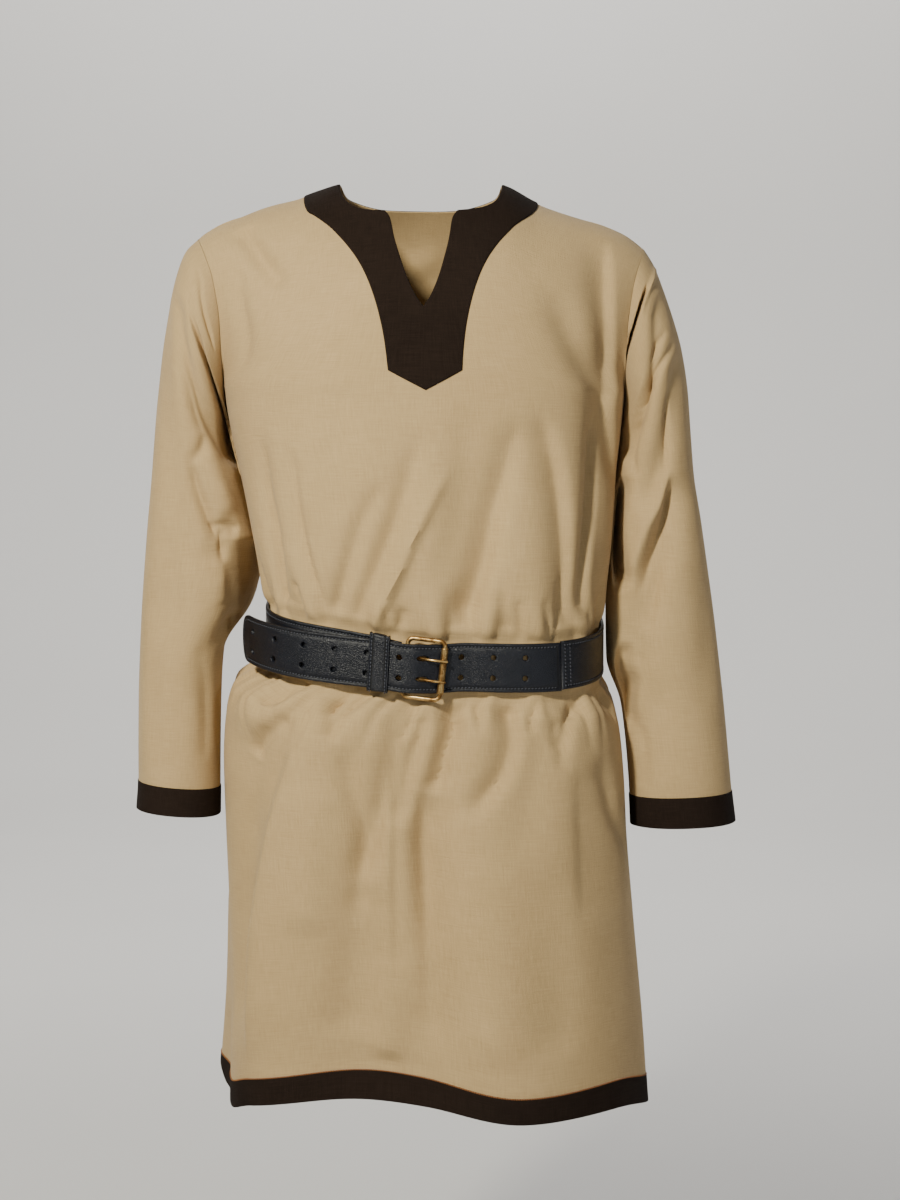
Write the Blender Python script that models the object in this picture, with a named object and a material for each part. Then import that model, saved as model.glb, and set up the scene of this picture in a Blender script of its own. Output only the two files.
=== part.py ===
"""A belted long-sleeve tunic, held out hollow in its worn shape, in metres with +Z up.

The front of the tunic faces -Y. The origin lies between the two shoulder points at the neck, where a
wearer's shoulders carry it. Each cloth piece is a wall that follows an outer surface worked out from
section tables. The belt has its own frame: along the waist from the buckle, across it, and outwards.
"""

import math

import bpy
import numpy as np
from mathutils import Vector
from mathutils.geometry import delaunay_2d_cdt

# Walls and seams
CLOTH = 0.0016
SEAM = 0.0004
BAND_PROUD = 0.0005
FACING_GAP = 0.0003
FACING = 0.0012
FRONT, BACK = -1, 1

# Heights of the body, as levels below the shoulder points at the neck
ARMPIT = -0.218
WAIST = -0.4805
BAND_HEIGHT = 0.030
HEM = -0.955
BAND_TOP = HEM + BAND_HEIGHT
HEM_DIP, HEM_DIP_TOP = 0.012, -0.56

# How much lower than level the hem hangs, along the front's width and at the two ends of the back
DROP_COLUMNS = ("across", "down")
HEM_DROPS = {
    FRONT: (
        (-1.00, 0.010), (-0.90, 0.015), (-0.80, 0.020), (-0.61, 0.010), (-0.24, -0.006), (-0.04, -0.002),
        (0.24, 0.011), (0.60, 0.004), (0.90, 0.008), (1.00, 0.008),
    ),
    BACK: ((-1.00, 0.010), (1.00, 0.008)),
}
DROP_FROM, DROP_TO = -0.68, -0.925
HALF_GIRTH = 0.25

# Above the armpit the cloth turns back over the shoulders
SHOULDER_Y = 0.004
CAP = 0.300
CAP_TOP = ARMPIT + CAP
CHEST_TURN = 2.2
ARMHOLE_REACH = {FRONT: 0.058, BACK: 0.068}
ARMHOLE_ROUND = 0.85
YOKE_POWER = 2.6

# One row for each section of the body, from the hem to the shoulder line
BODY_COLUMNS = ("level", "left", "right", "front", "back", "corner", "round")
BODY_SECTIONS = (
    (-0.9550, -0.2050, 0.2440, -0.1360, 0.1560, 2.5, 1.00),
    (-0.8700, -0.2045, 0.2385, -0.1390, 0.1520, 2.5, 1.00),
    (-0.7610, -0.2065, 0.2280, -0.1410, 0.1480, 2.6, 1.00),
    (-0.6850, -0.2085, 0.2210, -0.1410, 0.1440, 2.7, 1.00),
    (-0.6090, -0.2100, 0.2160, -0.1400, 0.1380, 2.8, 1.00),
    (-0.5610, -0.2070, 0.2110, -0.1385, 0.1320, 2.9, 1.00),
    (-0.5340, -0.1990, 0.2040, -0.1350, 0.1240, 3.0, 1.00),
    (-0.5180, -0.1770, 0.1930, -0.1280, 0.1130, 3.1, 1.00),
    (-0.5080, -0.1570, 0.1870, -0.1235, 0.1065, 3.1, 1.00),
    (-0.4430, -0.1570, 0.1870, -0.1235, 0.1065, 3.1, 1.00),
    (-0.4320, -0.1630, 0.1910, -0.1315, 0.1135, 3.1, 1.00),
    (-0.4100, -0.1690, 0.1960, -0.1380, 0.1200, 3.0, 1.00),
    (-0.3840, -0.1750, 0.2010, -0.1400, 0.1230, 2.9, 1.00),
    (-0.3380, -0.1840, 0.2050, -0.1400, 0.1260, 2.7, 1.00),
    (-0.2990, -0.1920, 0.2070, -0.1390, 0.1285, 2.6, 1.00),
    (-0.2510, -0.2020, 0.2120, -0.1370, 0.1300, 2.5, 1.00),
    (-0.2180, -0.2060, 0.2145, -0.1360, 0.1310, 2.4, 1.00),
    (-0.1800, -0.2070, 0.2140, -0.1360, 0.1310, 2.4, 0.70),
    (-0.1350, -0.2080, 0.2148, -0.1360, 0.1310, 2.4, 0.35),
    (-0.0763, -0.2145, 0.2200, -0.1360, 0.1310, 2.4, 0.10),
    (-0.0262, -0.2265, 0.2290, -0.1360, 0.1310, 2.4, 0.00),
    (0.0000, -0.2340, 0.2350, -0.1360, 0.1310, 2.4, 0.00),
)

# How far each section leans: metres of height for each metre across, and for each metre back
LEAN_COLUMNS = ("level", "across", "back")
LEANS = (
    (-0.9550, -0.020, 0.000),
    (-0.6500, -0.020, 0.020),
    (-0.5300, -0.045, 0.120),
    (-0.5080, -0.045, 0.140),
    (-0.4530, -0.045, 0.140),
    (-0.4300, -0.045, 0.120),
    (-0.3300, -0.020, 0.020),
    (-0.2180, -0.018, 0.000),
    (0.0000, -0.018, 0.000),
)

# The shoulder line seen from the front
SHOULDER_COLUMNS = ("x", "z")
SHOULDER_LINE = (
    (-0.2400, -0.0610),
    (-0.2257, -0.0490),
    (-0.2096, -0.0405),
    (-0.1890, -0.0323),
    (-0.1568, -0.0208),
    (-0.1261, -0.0125),
    (-0.0850, 0.0000),
    (0.0000, 0.0120),
    (0.0850, 0.0000),
    (0.1200, -0.0170),
    (0.1492, -0.0280),
    (0.1714, -0.0353),
    (0.1925, -0.0418),
    (0.2144, -0.0512),
    (0.2400, -0.0700),
)

# Largest folds of the body: ends as shares across and levels, half width, and height at each end
FOLD_COLUMNS = ("across_top", "level_top", "across_low", "level_low", "half_width", "at_top", "at_low")
FOLDS = {
    FRONT: (
        (-0.50, -0.560, -0.52, -0.960, 0.060, 0.004, 0.006),
        (-0.10, -0.560, -0.16, -0.960, 0.062, -0.004, -0.032),
        (0.18, -0.560, 0.20, -0.960, 0.058, 0.004, 0.020),
        (0.62, -0.560, 0.66, -0.960, 0.050, -0.002, -0.007),
        (0.10, -0.525, -0.02, -0.780, 0.014, -0.008, -0.003),
        (-0.40, -0.525, -0.50, -0.660, 0.014, -0.008, -0.002),
        (0.38, -0.525, 0.28, -0.680, 0.014, -0.006, -0.002),
        (-0.02, -0.300, -0.16, -0.440, 0.020, -0.002, -0.006),
        (0.30, -0.260, 0.10, -0.440, 0.024, -0.002, -0.008),
        (0.60, -0.110, 0.66, -0.430, 0.024, -0.008, -0.006),
        (-0.60, -0.300, -0.56, -0.440, 0.018, -0.002, -0.005),
    ),
    BACK: (
        (-0.84, -0.740, -0.80, -0.960, 0.040, 0.004, 0.026),
        (-0.45, -0.560, -0.46, -0.960, 0.055, -0.004, -0.020),
        (0.00, -0.560, 0.02, -0.960, 0.060, 0.004, 0.014),
        (0.46, -0.560, 0.50, -0.960, 0.055, -0.004, -0.020),
        (0.30, -0.525, 0.24, -0.720, 0.014, -0.006, -0.002),
        (-0.24, -0.525, -0.18, -0.700, 0.014, -0.006, -0.002),
        (-0.34, -0.200, -0.28, -0.440, 0.024, -0.004, -0.006),
        (0.34, -0.200, 0.28, -0.440, 0.024, -0.004, -0.006),
        (0.00, -0.260, 0.04, -0.440, 0.020, -0.002, -0.005),
    ),
}
FOLD_FADE = 0.12

# Gathers that the belt draws in, on each half of the body
GATHERS = 10
GATHER_DEPTH = 0.0028
GATHER_SWAY = 0.03
GATHER_SPREAD = {"above": 0.075, "below": 0.060}
BELT_HOLD = (0.037, 0.050)

# Neck opening and facing, as right halves seen from the front and from the back
NECK_AXIS, NECK_AXIS_LEAN = 0.0005, -0.028
NECK_COLUMNS = ("x", "z")
NECK = {
    FRONT: (
        (0.0850, None), (0.0835, -0.0080), (0.0800, -0.0165), (0.0740, -0.0235), (0.0640, -0.0285),
        (0.0500, -0.0310), (0.0372, -0.0320), (0.0318, -0.0400), (0.0270, -0.0640),
        (0.0180, -0.0950), (0.0085, -0.1180), (0.0000, -0.1310),
    ),
    BACK: (
        (0.0850, None), (0.0810, -0.0080), (0.0700, -0.0140), (0.0480, -0.0190), (0.0240, -0.0210),
        (0.0000, -0.0215),
    ),
}
FACING_EDGE = {
    FRONT: (
        (0.1230, None), (0.1200, -0.0270), (0.1090, -0.0375), (0.0900, -0.0530), (0.0770, -0.0675),
        (0.0670, -0.0815), (0.0590, -0.0965), (0.0515, -0.1160), (0.0450, -0.1400),
        (0.0405, -0.1650), (0.0375, -0.1960), (0.0000, -0.2160),
    ),
    BACK: (
        (0.1230, None), (0.1180, -0.0300), (0.1020, -0.0430), (0.0760, -0.0530), (0.0400, -0.0590),
        (0.0000, -0.0605),
    ),
}

# Sleeves: outer and inner point of each ring seen from the front, and its front and back limits
SLEEVE_COLUMNS = ("row", "outer_x", "outer_z", "inner_x", "inner_z", "front", "back")
SLEEVES = {
    "sleeve_right": (
        (0, -0.2340, -0.0550, -0.2060, -0.2140, -0.054, 0.072),
        (1, -0.2470, -0.0690, -0.2078, -0.2190, -0.062, 0.078),
        (2, -0.2580, -0.0980, -0.2092, -0.2240, -0.066, 0.080),
        (3, -0.2655, -0.1300, -0.2100, -0.2300, -0.067, 0.081),
        (4, -0.2720, -0.1660, -0.2104, -0.2380, -0.066, 0.081),
        (5, -0.2775, -0.2100, -0.2060, -0.2500, -0.062, 0.078),
        (6, -0.2825, -0.2570, -0.2000, -0.2720, -0.058, 0.074),
        (7, -0.2865, -0.3000, -0.1938, -0.3050, -0.054, 0.071),
        (8, -0.2905, -0.3450, -0.1852, -0.3460, -0.052, 0.069),
        (9, -0.2940, -0.3950, -0.1778, -0.3900, -0.051, 0.067),
        (10, -0.2975, -0.4450, -0.1830, -0.4400, -0.050, 0.064),
        (11, -0.3000, -0.4970, -0.2105, -0.4900, -0.050, 0.060),
        (12, -0.3015, -0.5430, -0.2135, -0.5400, -0.051, 0.056),
        (13, -0.3020, -0.5980, -0.2145, -0.6020, -0.053, 0.052),
        (14, -0.3018, -0.6285, -0.2147, -0.6360, -0.054, 0.050),
        (15, -0.3035, -0.6590, -0.2152, -0.6660, -0.054, 0.050),
    ),
    "sleeve_left": (
        (0, 0.2350, -0.0680, 0.2145, -0.2220, -0.054, 0.072),
        (1, 0.2460, -0.0850, 0.2160, -0.2270, -0.062, 0.078),
        (2, 0.2565, -0.1110, 0.2172, -0.2320, -0.066, 0.080),
        (3, 0.2665, -0.1400, 0.2180, -0.2380, -0.067, 0.081),
        (4, 0.2755, -0.1720, 0.2184, -0.2460, -0.066, 0.081),
        (5, 0.2825, -0.2130, 0.2160, -0.2580, -0.062, 0.078),
        (6, 0.2870, -0.2600, 0.2125, -0.2780, -0.058, 0.074),
        (7, 0.2915, -0.3050, 0.2094, -0.3080, -0.054, 0.071),
        (8, 0.2985, -0.3480, 0.2072, -0.3480, -0.052, 0.069),
        (9, 0.3055, -0.3980, 0.2025, -0.3950, -0.051, 0.067),
        (10, 0.3125, -0.4500, 0.2005, -0.4450, -0.050, 0.064),
        (11, 0.3185, -0.5030, 0.2085, -0.4980, -0.050, 0.060),
        (12, 0.3235, -0.5500, 0.2190, -0.5480, -0.050, 0.056),
        (13, 0.3290, -0.6090, 0.2215, -0.6120, -0.050, 0.052),
        (14, 0.3320, -0.6410, 0.2230, -0.6450, -0.050, 0.050),
        (15, 0.3362, -0.6740, 0.2245, -0.6775, -0.050, 0.050),
    ),
}
SIDE = {"sleeve_right": -1, "sleeve_left": 1}
SLEEVE_END, CUFF_END = 14, 15
SEAM_ROWS = 3
SLEEVE_CORNER = 2.15
ROW_LENGTH, QUARTER_TURN = 0.045, 0.085
MITRE_LIMIT = 2.0

# Largest folds of the sleeves: ends as rows and quarter turns, 0 outer, 1 front, 2 inner, 3 back
SLEEVE_FOLD_COLUMNS = ("row_top", "turn_top", "row_low", "turn_low", "half_width", "at_top", "at_low")
SLEEVE_FOLDS = {
    "sleeve_right": (
        (2.2, 0.50, 4.3, 1.14, 0.017, -0.004, -0.011),
        (4.3, 1.14, 6.6, 1.74, 0.017, -0.011, -0.007),
        (3.0, 0.35, 9.0, 0.95, 0.018, -0.002, -0.005),
        (8.6, 1.20, 10.6, 1.75, 0.018, -0.008, -0.009),
        (9.6, 0.60, 13.2, 0.80, 0.018, -0.005, -0.003),
        (3.0, 3.30, 8.4, 2.90, 0.018, -0.005, -0.006),
        (8.4, 2.60, 10.6, 3.20, 0.018, -0.007, -0.006),
        (10.4, 3.30, 13.4, 3.10, 0.018, -0.005, -0.002),
    ),
    "sleeve_left": (
        (1.8, 0.55, 3.8, 1.20, 0.017, -0.004, -0.010),
        (3.8, 1.20, 6.2, 1.74, 0.017, -0.010, -0.007),
        (4.0, 0.50, 7.6, 1.20, 0.018, -0.004, -0.009),
        (7.2, 0.70, 10.8, 1.45, 0.018, -0.008, -0.009),
        (10.6, 1.30, 13.2, 1.20, 0.018, -0.006, -0.002),
        (3.0, 3.30, 8.4, 2.90, 0.018, -0.005, -0.006),
        (8.4, 2.60, 10.6, 3.20, 0.018, -0.007, -0.006),
        (10.4, 3.30, 13.4, 3.10, 0.018, -0.005, -0.002),
    ),
}

# Lattices of the walls
AROUND = 24
SLEEVE_ROWS = (0, 0.5, 1, 1.6, 2.2, 2.8, 3.4, 4, 4.7, 5.4, 6.2, 7, 7.8, 8.6, 9.4, 10.2, 11, 12, 13, 14)
PLAIN_COLUMNS, WAIST_COLUMNS = 22, 40
SKIRT_LEVELS = (-0.880, -0.830, -0.775, -0.720, -0.665, -0.620, -0.585)
WAIST_LEVELS = (-0.555, -0.534, -0.519, -0.508, -0.4805, -0.453, -0.442, -0.424)
CHEST_LEVELS = (-0.395, -0.360, -0.322, -0.284, -0.249)
CAP_STEPS = 9
SHOULDER_STEPS = 6
KEEP_OFF = 0.0090
SURFACE_STEP = 0.0008
SHARP_ANGLE = math.radians(50)

# Straps of the belt: lift of their inner face off the cloth, from the buckle to the wearer's left
BELT_WIDTH, LEATHER = 0.050, 0.0032
BELT_GAP = 0.0040
BELT_JOIN = 0.145
STRAP_END, STRAP_LIFT = -0.0188, 0.0023
TONGUE_TIP, TIP_LENGTH = -0.212, 0.018
TIP_ROUND, TIP_SHARE = 0.004, 0.62
LIFT_COLUMNS = ("along", "out")
STRAP_LIFTS = ((-0.130, 0.0), (-0.090, 0.0006), (-0.062, STRAP_LIFT), (STRAP_END, STRAP_LIFT))
TONGUE_LIFTS = (
    (-0.2150, 0.0255), (-0.2000, 0.0215), (-0.1800, 0.0160), (-0.1500, 0.0088), (-0.1200, 0.0052),
    (-0.0950, 0.0044), (-0.0620, 0.0062), (-0.0480, 0.0072), (-0.0300, 0.0098), (-0.0180, 0.0112),
    (-0.0100, 0.0112), (-0.0030, 0.0104), (0.0060, 0.0076), (0.0140, 0.0052), (0.0235, 0.0030),
    (0.0360, 0.0010), (0.0480, 0.0000), (0.1500, 0.0000),
)
RISE_COLUMNS = ("along", "up")
TONGUE_RISES = (
    (-0.2120, 0.0045), (-0.1000, 0.0040), (-0.0400, 0.0028), (-0.0120, 0.0), (0.0100, 0.0),
    (0.0500, 0.0030), (0.1500, 0.0032),
)
STRAP_RISES = (
    (-0.9000, 0.0030), (-0.7400, 0.0060), (-0.6200, 0.0040), (-0.4500, 0.0), (-0.2500, 0.0100),
    (-0.1600, 0.0120), (-0.1200, 0.0115), (-0.0850, 0.0100), (-0.0500, 0.0065), (STRAP_END, 0.0010),
)
HOLE_PITCH, HOLE_ROW = 0.0325, 0.0105
HOLE_RADIUS, HOLE_SIDES = 0.0028, 6
FIRST_HOLES = {"left": (-0.0204, 6), "right": (0.0421, 3)}
SLOT_FROM, SLOT_TO, SLOT_HALF, SLOT_SIDES = -0.0032, 0.0092, 0.0025, 8
NOTCH_HALF, NOTCH_DEPTH = 0.0032, 0.0045
STRAP_STEP, STRAP_KEEP_OFF = 0.012, 0.0035
WAIST_STEPS, BELT_SMOOTH = 240, 0.012

# Keeper and buckle
KEEPER_FROM, KEEPER_TO = -0.0510, -0.0305
KEEPER_HALF, KEEPER_WALL, KEEPER_CHAMFER, KEEPER_GAP = 0.0264, 0.0019, 0.0010, 0.0003
BUCKLE_TILT, BUCKLE_MIDDLE = math.radians(-4), 0.003
PIVOT_ALONG, PIVOT_OUT = -0.0145, 0.0054
ROLLER_ALONG, ROLLER_OUT = 0.0235, 0.0107
RAIL, RAIL_CORNER, WIRE = 0.0300, 0.0060, 0.0023
ROLLER_INSIDE, ROLLER_OUTSIDE, ROLLER_LENGTH = 0.0027, 0.0036, 0.0470
PRONG, PRONG_LOOP = 0.0013, 0.0039
PRONG_COLUMNS = ("along", "out")
PRONG_PATH = (
    (-0.0060, 0.0062), (-0.0015, 0.0076), (0.0035, 0.0110), (0.0080, 0.0142), (0.0140, 0.0160),
    (0.0235, 0.0160), (0.0268, 0.0156),
)

FINISHES = {
    "tan_cotton": ((0.50, 0.37, 0.22), 0.90, 0.0),
    "brown_cotton": ((0.032, 0.016, 0.014), 0.92, 0.0),
    "black_leather": ((0.013, 0.014, 0.022), 0.42, 0.0),
    "antique_brass": ((0.55, 0.36, 0.14), 0.32, 1.0),
}


def curve(table, names, key, wanted, at):
    """The wanted column at values of the key column, on a smooth curve that never overshoots."""
    rows = np.array(table, float)
    xs, ys = rows[:, names.index(key)], rows[:, names.index(wanted)]
    at = np.clip(np.asarray(at, float), xs[0], xs[-1])
    gaps = np.diff(xs)
    slopes = np.diff(ys) / gaps
    tangents = np.zeros(len(xs))
    tangents[0], tangents[-1] = slopes[0], slopes[-1]
    same_way = slopes[:-1] * slopes[1:] > 0
    total = np.where(same_way, slopes[:-1] + slopes[1:], 1.0)
    tangents[1:-1] = np.where(same_way, 2 * slopes[:-1] * slopes[1:] / total, 0.0)
    i = np.clip(np.searchsorted(xs, at, side="right") - 1, 0, len(xs) - 2)
    t = (at - xs[i]) / gaps[i]
    plain = ys[i] * (1 + 2 * t) * (1 - t) ** 2 + ys[i + 1] * t * t * (3 - 2 * t)
    return plain + gaps[i] * (tangents[i] * t * (1 - t) ** 2 - tangents[i + 1] * t * t * (1 - t))


def section(wanted, level):
    return curve(BODY_SECTIONS, BODY_COLUMNS, "level", wanted, level)


def lean(wanted, level):
    return curve(LEANS, LEAN_COLUMNS, "level", wanted, level)


def shoulder_z(x):
    return curve(SHOULDER_LINE, SHOULDER_COLUMNS, "x", "z", x)


def soft_step(value, low, high):
    t = np.clip((value - low) / (high - low), 0, 1)
    return t * t * (3 - 2 * t)


def unit(vectors):
    return vectors / np.maximum(np.linalg.norm(vectors, axis=-1, keepdims=True), 1e-12)


def cap_rise(up):
    """Share of the way from the armpit to the shoulder line, 0 below the armpit."""
    return np.sin(np.clip((up - ARMPIT) / CAP, 0, 1) * math.pi / 2)


def cap_up(rise):
    """Distance up the cloth where it has this share of the way to the shoulder line."""
    return ARMPIT + CAP * np.arcsin(rise) * 2 / math.pi


def across_shares(across, level):
    """Shares of a section's half width and of its depth, for a column of the cloth."""
    corner, rounded = section("corner", level), section("round", level)
    turn = across * math.pi / 2
    size = (np.abs(np.sin(turn)) ** corner + np.abs(np.cos(turn)) ** corner) ** (1 / corner)
    wide = rounded * np.sin(turn) / size + (1 - rounded) * across
    deep = rounded * np.cos(turn) / size + (1 - rounded) * (1 - np.abs(across) ** YOKE_POWER)
    return wide, deep


def body_base(across, up, face):
    """Smooth outer surface of the front or the back. Across runs -1 to 1, up is metres up the cloth."""
    rise = cap_rise(up)
    level = np.where(up > ARMPIT, ARMPIT * (1 - rise), np.maximum(up, HEM))
    wide, deep = across_shares(across, level)
    left, right = section("left", level), section("right", level)
    x = (left + right) / 2 + (right - left) / 2 * wide
    middle = section("front" if face == FRONT else "back", level)
    centre = SHOULDER_Y + (middle - SHOULDER_Y) * np.sqrt(np.maximum(1 - rise**CHEST_TURN, 0))
    bow = (2 * np.sqrt(np.maximum(rise * (1 - rise), 0))) ** ARMHOLE_ROUND
    edge = SHOULDER_Y + face * ARMHOLE_REACH[face] * bow
    y = edge + (centre - edge) * deep
    drop = curve(HEM_DROPS[face], DROP_COLUMNS, "across", "down", across)
    dip = HEM_DIP * across**4 * soft_step(-level, -HEM_DIP_TOP, -HEM)
    dip = dip + drop * soft_step(-level, -DROP_FROM, -DROP_TO)
    low_z = level + lean("across", level) * x + lean("back", level) * y - dip
    armpit_z = ARMPIT + lean("across", ARMPIT) * x
    high_z = armpit_z + (shoulder_z(x) - armpit_z) * rise
    return np.stack([x, y, np.where(up > ARMPIT, high_z, low_z)], axis=-1)


def segment_fold(p, q, start, end, half_width, at_start, at_end):
    """Height at (p, q) of a soft trough or ridge that follows a straight segment."""
    run = np.subtract(end, start)
    share = ((p - start[0]) * run[0] + (q - start[1]) * run[1]) / (run @ run)
    held = np.clip(share, 0, 1)
    away = np.hypot(p - start[0] - held * run[0], q - start[1] - held * run[1])
    ends = soft_step(share, -FOLD_FADE, FOLD_FADE) * soft_step(1 - share, -FOLD_FADE, FOLD_FADE)
    return (at_start + (at_end - at_start) * held) * ends * np.exp(-((away / half_width) ** 2))


def gathers(across, level, face):
    """Height of the gathers, which die out above and below the belt."""
    wave = np.cos(math.pi * GATHERS * (across + GATHER_SWAY * np.sin(7 * across + face)))
    spread = np.where(level > WAIST, GATHER_SPREAD["above"], GATHER_SPREAD["below"])
    away = np.maximum(np.abs(level - WAIST) - BELT_WIDTH / 2, 0) / spread
    return GATHER_DEPTH * wave * np.exp(-2.5 * away**2) * (1 + 0.7 * np.sin(4 * away))


def body_fold(across, up, face):
    """Height of the gathers and folds together, held flat under the belt and at the side seams."""
    level = np.where(up > ARMPIT, ARMPIT * (1 - cap_rise(up)), up)
    total = gathers(across, level, face)
    for row in FOLDS[face]:
        fold = dict(zip(FOLD_COLUMNS, row))
        start = (fold["across_top"] * HALF_GIRTH, fold["level_top"])
        end = (fold["across_low"] * HALF_GIRTH, fold["level_low"])
        heights = fold["half_width"], fold["at_top"], fold["at_low"]
        total = total + segment_fold(across * HALF_GIRTH, level, start, end, *heights)
    under_belt = 1 - soft_step(np.abs(level - WAIST), *BELT_HOLD)
    held = total + under_belt * (np.clip(total, -GATHER_DEPTH, GATHER_DEPTH) - total)
    return held * (1 - np.minimum(np.abs(across), 1) ** 12)


def slopes(surface, p, q, low, high):
    """Changes of a surface along each of its two parameters; the second stays within its limits."""
    by_p = surface(p + SURFACE_STEP, q) - surface(p - SURFACE_STEP, q)
    by_q = surface(p, np.minimum(q + SURFACE_STEP, high)) - surface(p, np.maximum(q - SURFACE_STEP, low))
    return by_p, by_q


def normal_of(surface, p, q, low, high):
    by_p, by_q = slopes(surface, p, q, low, high)
    return unit(np.cross(by_p, by_q))


def body_point(across, up, face):
    """Outer surface of the cloth with its gathers and folds."""
    normal = -face * normal_of(lambda a, b: body_base(a, b, face), across, up, HEM, CAP_TOP)
    return body_base(across, up, face) + normal * body_fold(across, up, face)[..., None]


def body_normal(across, up, face):
    return -face * normal_of(lambda a, b: body_point(a, b, face), across, up, HEM, CAP_TOP)


def turn_face(turn):
    return np.where(np.mod(turn, 4) <= 2, FRONT, BACK)


def armhole(turn, side, quantity):
    """A quantity of the body, such as its point, round an armhole: 0 shoulder, 1 front, 2 armpit."""
    up = cap_up((1 + np.cos(turn * math.pi / 2)) / 2)
    across = np.full(np.shape(turn), float(side))
    front = turn_face(turn)[..., None] == FRONT
    return np.where(front, quantity(across, up, FRONT), quantity(across, up, BACK))


def sleeve_ring(name, row, turn):
    """Plain ring of a sleeve at a row of its table."""
    value = {key: curve(SLEEVES[name], SLEEVE_COLUMNS, "row", key, row) for key in SLEEVE_COLUMNS[1:]}
    c, s = np.cos(turn * math.pi / 2), np.sin(turn * math.pi / 2)
    size = (np.abs(c) ** SLEEVE_CORNER + np.abs(s) ** SLEEVE_CORNER) ** (1 / SLEEVE_CORNER)
    c, s = c / size, s / size
    x = (value["outer_x"] + value["inner_x"]) / 2 + (value["outer_x"] - value["inner_x"]) / 2 * c
    z = (value["outer_z"] + value["inner_z"]) / 2 + (value["outer_z"] - value["inner_z"]) / 2 * c
    y = (value["front"] + value["back"]) / 2 - (value["back"] - value["front"]) / 2 * s
    return np.stack([x, y, z], axis=-1)


def sleeve_base(name, row, turn):
    """Smooth outer surface of a sleeve, which starts exactly on the armhole of the body."""
    seam = armhole(turn, SIDE[name], body_base) - sleeve_ring(name, np.zeros_like(row), turn)
    return sleeve_ring(name, row, turn) + seam * (1 - soft_step(row, 0, SEAM_ROWS))[..., None]


def sleeve_fold(name, row, turn):
    total = np.zeros(np.shape(row))
    for values in SLEEVE_FOLDS[name]:
        fold = dict(zip(SLEEVE_FOLD_COLUMNS, values))
        start = (fold["row_top"] * ROW_LENGTH, fold["turn_top"] * QUARTER_TURN)
        end = (fold["row_low"] * ROW_LENGTH, fold["turn_low"] * QUARTER_TURN)
        heights = fold["half_width"], fold["at_top"], fold["at_low"]
        total = total + segment_fold(row * ROW_LENGTH, turn * QUARTER_TURN, start, end, *heights)
    return total * soft_step(row, 0.6, 2.0)


def sleeve_normal(name, row, turn, surface):
    across = normal_of(lambda a, b: surface(name, b, a), turn, row, 0, CUFF_END)
    return SIDE[name] * across


def sleeve_point(name, row, turn):
    fold = sleeve_fold(name, row, np.mod(turn, 4))[..., None]
    return sleeve_base(name, row, turn) + fold * sleeve_normal(name, row, turn, sleeve_base)


def seam_normal(turn, side):
    """Shared direction of the walls of the body and the sleeve where they meet, on their mitre."""
    name = "sleeve_right" if side < 0 else "sleeve_left"
    of_body = armhole(turn, side, body_normal)
    of_sleeve = sleeve_normal(name, np.zeros_like(turn), turn, sleeve_point)
    middle = unit(of_body + of_sleeve)
    facing = np.maximum(np.sum(middle * of_body, axis=-1), 1 / MITRE_LIMIT)
    return middle / facing[..., None]


def body_wall(across, up, face, out):
    """Point of the cloth moved outwards, on the mitre at an armhole, and off the other half's seam."""
    normal = body_normal(across, up, face)
    on_armhole = (np.abs(across) > 1 - 1e-6) & (up > ARMPIT - 1e-6)
    c = np.clip(2 * cap_rise(up) - 1, -1, 1)
    turn = np.arccos(c) * 2 / math.pi
    turn = turn if face == FRONT else 4 - turn
    for side in (-1, 1):
        here = (on_armhole & (across * side > 0))[..., None]
        normal = np.where(here, seam_normal(turn, side), normal)
    point = body_point(across, up, face) + normal * out
    point[..., 1] += face * SEAM / 2
    return point


def sleeve_wall(name, row, turn, out):
    """Point of a sleeve moved outwards, on the mitre at the armhole, and off the body's edge."""
    normal = sleeve_normal(name, row, turn, sleeve_point)
    normal = np.where((row < 1e-6)[..., None], seam_normal(turn, SIDE[name]), normal)
    point = sleeve_point(name, row, turn) + normal * out
    point[..., 0] += SIDE[name] * SEAM
    return point


def add_piece(name, vertices, faces, finish):
    """Add one object from its points and faces."""
    mesh = bpy.data.meshes.new(name)
    mesh.from_pydata([tuple(point) for point in vertices], [], faces)
    mesh.materials.append(finish)
    mesh.shade_smooth()
    mesh.set_sharp_from_angle(angle=SHARP_ANGLE)
    piece = bpy.data.objects.new(name, mesh)
    bpy.context.scene.collection.objects.link(piece)
    return piece


def grid_wall(name, outer, inner, closed, finish):
    """Closed wall between two grids of points, whose rows run down and whose columns run round."""
    rows, columns = outer.shape[:2]
    count = rows * columns
    spans = columns if closed else columns - 1

    def at(row, column, layer):
        return layer * count + row * columns + column % columns

    faces = []
    for row in range(rows - 1):
        for column in range(spans):
            ring = [(row, column), (row, column + 1), (row + 1, column + 1), (row + 1, column)]
            faces.append([at(r, c, 0) for r, c in ring])
            faces.append([at(r, c, 1) for r, c in reversed(ring)])
    for column in range(spans):
        faces.append([at(0, column + 1, 0), at(0, column, 0), at(0, column, 1), at(0, column + 1, 1)])
        low = rows - 1
        faces.append([at(low, column, 0), at(low, column + 1, 0), at(low, column + 1, 1), at(low, column, 1)])
    if not closed:
        end = columns - 1
        for row in range(rows - 1):
            faces.append([at(row, 0, 0), at(row + 1, 0, 0), at(row + 1, 0, 1), at(row, 0, 1)])
            faces.append([at(row + 1, end, 0), at(row, end, 0), at(row, end, 1), at(row + 1, end, 1)])
    points = np.concatenate([outer.reshape(-1, 3), inner.reshape(-1, 3)])
    return add_piece(name, points, faces, finish)


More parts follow.
